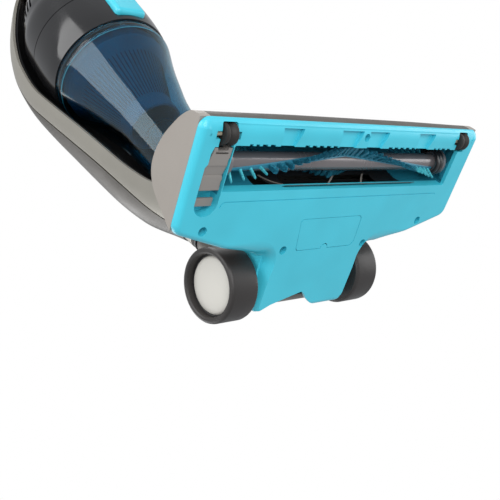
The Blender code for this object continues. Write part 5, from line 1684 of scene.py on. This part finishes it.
# ---- hand unit ----------------------------------------------------------------------------
@dataclass
class DustCup(BodyAssembly):
    """Clear cup with its collar, cyclone and inlet."""

    v: float = 11.6
    rim_w: float = RIM_W
    seam_w: float = SEAM_W
    nose_w: float = NOSE_W
    radius: float = 50.0
    lean: float = 0.045
    nose_r: float = 23.5
    wall: float = 2.0
    line: Sequence[Flat] = ((50.0, 244.5), (49.4, 241.5), (42.4, 222.0), (36.2, 200.0), (30.6, 175.0),
                            (26.2, 128.0), (24.8, 112.0), (23.5, 106.0))

    def cup(self) -> Object:
        """Clear cup with a double rim bead and an open nose."""
        fine = smooth_path(self.line, 8)
        outer = [(self.radius - 0.5, self.rim_w), *fine[1:-1], (self.nose_r + 0.6, self.nose_w + 1.2),
                 (self.nose_r - 0.6, self.nose_w)]
        inner = [(r - self.wall, w) for r, w in fine[:-3]] + [(self.nose_r - 1.6, self.nose_w + 3.0)]
        profile = outer + [(13.5, self.nose_w), (13.5, self.nose_w + 3.0)] + inner[::-1]
        return turned("clear_cup", profile, (0, self.v, 0), "Z", 128, closed=True)

    def band(self, name: str, radius: float, w: float, high: float, deep: float) -> Object:
        """A thin raised band round the hand unit."""
        profile = [(radius, w + high / 2), (radius + deep * 0.7, w + high * 0.3), (radius + deep, w),
                   (radius + deep * 0.7, w - high * 0.3), (radius, w - high / 2), (radius - 0.6, w)]
        return turned(name, profile, (0, self.v, 0), "Z", 128, closed=True)

    def collar(self) -> Object:
        """Clear collar above the cup's rim."""
        r = self.radius
        return turned("clear_collar", [(r - 0.2, self.seam_w), (r, self.seam_w - 0.3), (r, self.rim_w + 0.6),
                                       (r - 0.2, self.rim_w + 0.3), (r - 3, self.rim_w + 0.3),
                                       (r - 3, self.seam_w)],
                      (0, self.v, 0), "Z", 128, closed=True)

    def cone(self) -> Object:
        """Cyclone cone that the air rises through."""
        profile = [(44.0, self.seam_w - 1), (44.0, 240.0), (36.5, 231.0), (22.5, 192.0), (22.5, 178.0),
                   (20.9, 178.0), (20.9, 192.6), (34.9, 231.6), (42.4, 241.0), (42.4, self.seam_w - 1)]
        return turned("cyclone_shroud", profile, (0, self.v, 0), "Z", 96, closed=True)

    def mesh(self) -> Object:
        """Fine upright wires round the cyclone's slope."""
        wire = turned("wire_template", [(0, 20.0), (0.32, 20.0), (0.32, -20.0), (0, -20.0)], steps=6)
        slope = math.atan2(36.5 - 22.5, 231.0 - 192.0)
        spots = []
        for turn in round_turn(64):
            out = (math.cos(turn) * math.sin(slope), math.sin(turn) * math.sin(slope), math.cos(slope))
            spots.append(Station((29.6 * math.cos(turn), self.v + 29.6 * math.sin(turn), 211.5), out))
        return Repeater("cyclone_wires", wire, BLACK).make(spots)

    def leaned(self, obj: Object) -> Object:
        """Leans a piece back, level by level, from the cup's nose up."""
        shear = Matrix.Identity(4)
        shear[1][2] = self.lean
        shear[1][3] = -self.lean * self.nose_w
        obj.data.transform(shear)
        return obj

    def build(self) -> None:
        """Makes and dresses the cup and what it holds."""
        beads = (self.band("rim_bead", self.radius - 0.3, self.rim_w + 3.4, 0.8, 0.25),
                 self.band("rim_bead_low", self.radius - 0.5, self.rim_w - 2.0, 0.8, 0.25))
        for piece, finish, node, slot in (
                (self.cup(), CUP_CLEAR, "dust_cup", "clear_blue"),
                (self.collar(), SMOKE_CLEAR, "cup_collar", "clear_blue"),
                (gathered("rim_beads", *beads), TEAL_AND_SHADED_CYAN, "", "clear_blue"), (self.mesh(), BLACK, "", "black"),
                (self.cone(), DEEP_BLUE, "cyclone_cone", "filter_blue")):
            self.finish(self.leaned(piece), finish, "hand_unit", [node] if node else [], slot)
        dress_node("inlet_pipe", BLACK)
        dress_node("inlet_flap", RUBBER)
        dress_node("fine_filter", FILTER_PAPER)


@dataclass
class Housing(BodyAssembly):
    """Glossy motor housing with its button, vents and inner parts."""

    v: float = 19.655
    seam_w: float = SEAM_W
    wall: float = 2.2
    stations: Sequence[tuple[float, ...]] = ((251.3, -33.0, 69.2, 51.1), (263.0, -34.1, 71.1, 52.6),
                                             (280.0, -34.2, 72.2, 53.2), (303.0, -33.4, 71.4, 52.4),
                                             (314.0, -31.6, 67.6, 49.6),
                                             (325.0, -27.5, 59.5, 46.0), (340.0, -17.5, 48.5, 38.5),
                                             (355.0, -5.0, 38.0, 28.0), (366.0, 3.0, 27.0, 17.2))

    def rings(self, inset: float, low: float | None = None, high: float | None = None) -> list[list[Point]]:
        """Sections up the housing, drawn in by inset, with the end heights moved if given."""
        fine = [list(s) for s in curve_through(self.stations, 6)]
        if low is not None:
            fine[0][0] = low
        if high is not None:
            fine = [s for s in fine if s[0] < high - 0.5] + [[high, *fine[-1][1:]]]
        return [ring_at(0, (front + rear) / 2, w, half - inset, (rear - front) / 2 - inset, 128)
                for w, front, rear, half in fine]

    def shell(self) -> Object:
        """The housing's outer moulding."""
        body = lofted("housing_shell", self.rings(0.0))
        button_hole = softened(block("button_hole", (-14.5, -50, 255.5), (14.5, -21.0, 279.5)), 4.0, 5)
        vents = [softened(block("vent", (side * 60 - 34, self.v - 13.9 + 4.7 * i, 317.3),
                                (side * 60 + 34, self.v - 11.5 + 4.7 * i, 331.7)), 0.8, 2)
                 for side in (-1, 1) for i in range(6)]
        groove = turned("groove", [(66, 0.35), (52.6, 0.35), (52.6, -0.35), (66, -0.35)], (0, self.v, 286.0),
                        "Z", 128, closed=True)
        body = cut(body, lofted("room", self.rings(self.wall, self.seam_w - 5, 362.5)), button_hole, *vents,
                   groove)
        return softened(body, 0.45, 2, 50)

    def build(self) -> None:
        """Makes and dresses the housing."""
        self.finish(self.shell(), BLACK_GLOSS, "hand_unit", ["motor_housing"], "gunmetal", 32)
        button = softened(block("cup_button", (-14.0, -37.2, 256), (14.0, -27.5, 279)), 3.6, 6)
        self.finish(button, CYAN_GLOSS, "cup_button", ["cup_release_button"], "cyan", 60)
        for node, finish in (("fan_motor", STEEL), ("impeller", SILVER), ("battery_pack", CELL),
                             ("control_board", BOARD)):
            dress_node(node, finish)


@dataclass
class HandGrip(BodyAssembly):
    """Loop grip of the hand unit with its switch."""

    path: Sequence[Flat] = ((-20, 312), (-40, 326), (-54, 346), (-59, 372), (-55, 398), (-45, 418),
                            (-30, 429), (-14, 427), (-5, 414), (-3, 392), (8, 358))

    def build(self) -> None:
        """Makes and dresses the grip and the switch."""
        fine = smooth_path(self.path)
        rn = [9.5 - 0.35 * abs(math.sin(i * 0.9)) if 8 < i < 26 else 9.5 for i in range(len(fine))]
        grip = swept("loop_grip", fine, 13.0, rn, 56)
        room = lofted("room", Housing().rings(-0.3, high=366.3))
        hole = softened(block("switch_hole", (-6.3, -47, 434.2), (6.3, -20, 450)), 0.3, 1)
        grip = cut(grip, room, hole)
        inner = beside(fine[10:26], -9.45)
        self.finish(grip, DARK_SHELL, "hand_unit", ["hand_grip"], "dark_grey", 34)
        soft = swept("grip_inlay", inner, 6.5, 0.45, 24)
        self.finish(soft, RUBBER, "hand_unit", [], "rubber", 50)
        switch = softened(block("trigger_key", (-6.0, -36, 436.0), (6.0, -22, 441.0)), 1.2, 4)
        grooves = [block("rib", (-3.8, -33.4 + 2.2 * i, 440.6), (3.8, -32.6 + 2.2 * i, 442))
                   for i in range(4)]
        self.finish(cut(switch, *grooves), CYAN, "hand_switch", ["hand_switch"], "cyan")


# ---- studio -------------------------------------------------------------------------------
@dataclass
class Studio:
    """Pale floor, soft lights and the camera under the tilted product."""

    eye: Point = (-404.4, -242.2, -300.5)
    right: Point = (0.703, -0.308, -0.640)
    back: Point = (-0.6938, -0.4927, -0.5252)
    lens: float = 58.49
    shift: Flat = (-0.067, 0.186)

    def camera(self) -> None:
        """Makes the camera."""
        data = bpy.data.cameras.new("view")
        data.lens = self.lens
        data.sensor_width = 36.0
        data.shift_x, data.shift_y = self.shift
        data.clip_start, data.clip_end = 0.01, 30.0
        back = Vector(self.back).normalized()
        right = Vector(self.right)
        right = (right - back * right.dot(back)).normalized()
        up = back.cross(right)
        turn = Matrix((right, up, back)).transposed().to_4x4()
        camera = bpy.data.objects.new("view", data)
        camera.matrix_world = Matrix.Translation(HEAD_PLACE @ Vector(self.eye)) @ turn
        bpy.context.scene.collection.objects.link(camera)
        bpy.context.scene.camera = camera

    def floor(self) -> None:
        """Pale floor that is clear from below."""
        bm = bmesh.new()
        bmesh.ops.create_grid(bm, x_segments=2, y_segments=2, size=3.0)
        floor = keep("studio_floor", bm)
        nodes = Nodes("studio_floor")
        nodes.shader.inputs["Base Color"].default_value = (0.86, 0.86, 0.85, 1)
        nodes.shader.inputs["Roughness"].default_value = 0.6
        side = nodes.add("ShaderNodeNewGeometry")
        clear = nodes.add("ShaderNodeBsdfTransparent")
        mix = nodes.add("ShaderNodeMixShader")
        nodes.link(side, "Backfacing", mix, 0)
        nodes.link(nodes.shader, "BSDF", mix, 1)
        nodes.link(clear, "BSDF", mix, 2)
        nodes.link(mix, "Shader", nodes.output, "Surface")
        floor.data.materials.append(nodes.material)
        floor.visible_shadow = floor.visible_diffuse = False
        floor.visible_glossy = floor.visible_transmission = False

    def lamp(self, name: str, spot: Point, target: Point, size: Flat, power: float) -> None:
        """Adds a soft white area light.

        Args:
            name: the light's name.
            spot: where it stands, in metres.
            target: what it faces.
            size: its width and height.
            power: in watts.
        """
        data = bpy.data.lights.new(name, "AREA")
        data.shape = "RECTANGLE"
        data.size, data.size_y = size
        data.energy = power
        lamp = bpy.data.objects.new(name, data)
        lamp.location = spot
        way = Vector(target) - Vector(spot)
        lamp.rotation_euler = way.to_track_quat("-Z", "Y").to_euler()
        bpy.context.scene.collection.objects.link(lamp)

    def world(self) -> None:
        """White to the camera, softer as light."""
        world = bpy.data.worlds.new("studio")
        bpy.context.scene.world = world
        world.use_nodes = True
        tree = world.node_tree
        tree.nodes.clear()
        path = tree.nodes.new("ShaderNodeLightPath")
        dim = tree.nodes.new("ShaderNodeBackground")
        dim.inputs["Color"].default_value = (0.95, 0.97, 1.0, 1)
        dim.inputs["Strength"].default_value = 0.55
        bright = tree.nodes.new("ShaderNodeBackground")
        bright.inputs["Color"].default_value = (1, 1, 1, 1)
        bright.inputs["Strength"].default_value = 1.0
        mix = tree.nodes.new("ShaderNodeMixShader")
        out = tree.nodes.new("ShaderNodeOutputWorld")
        tree.links.new(path.outputs["Is Camera Ray"], mix.inputs[0])
        tree.links.new(dim.outputs["Background"], mix.inputs[1])
        tree.links.new(bright.outputs["Background"], mix.inputs[2])
        tree.links.new(mix.outputs["Shader"], out.inputs["Surface"])

    def build(self) -> None:
        """Sets up the studio."""
        self.camera()
        self.floor()
        self.world()
        self.lamp("key_low", (-0.55, -0.9, -0.75), (0, 0.05, 0.05), (1.2, 0.9), 14.0)
        self.lamp("fill_right", (1.3, -0.5, -0.3), (0, 0.05, 0.1), (1.0, 1.0), 7.0)
        self.lamp("side_left", (-1.6, -0.5, 0.7), (0, 0.1, 0.25), (1.6, 1.6), 22.0)
        self.lamp("top", (0.4, -0.6, 1.9), (0, 0.1, 0.4), (1.6, 1.2), 22.0)
        self.lamp("back", (-0.3, 1.7, 1.0), (0, 0.1, 0.4), (1.4, 1.2), 12.0)
        bpy.context.scene.view_settings.view_transform = "Standard"


def main() -> None:
    """Builds every sub-assembly round the frame, in order."""
    logging.basicConfig(level=logging.INFO, format="%(name)s: %(message)s")
    Studio().build()
    for assembly in (Sole(), TopShell(), Brush(), HeadInside(), Latch(), Rollers(), Wheels(), Neck(), Frame(),
                     Handle(), DustCup(), Housing(), HandGrip()):
        LOG.info("building %s", type(assembly).__name__)
        assembly.build()


if __name__ == "__main__":
    main()
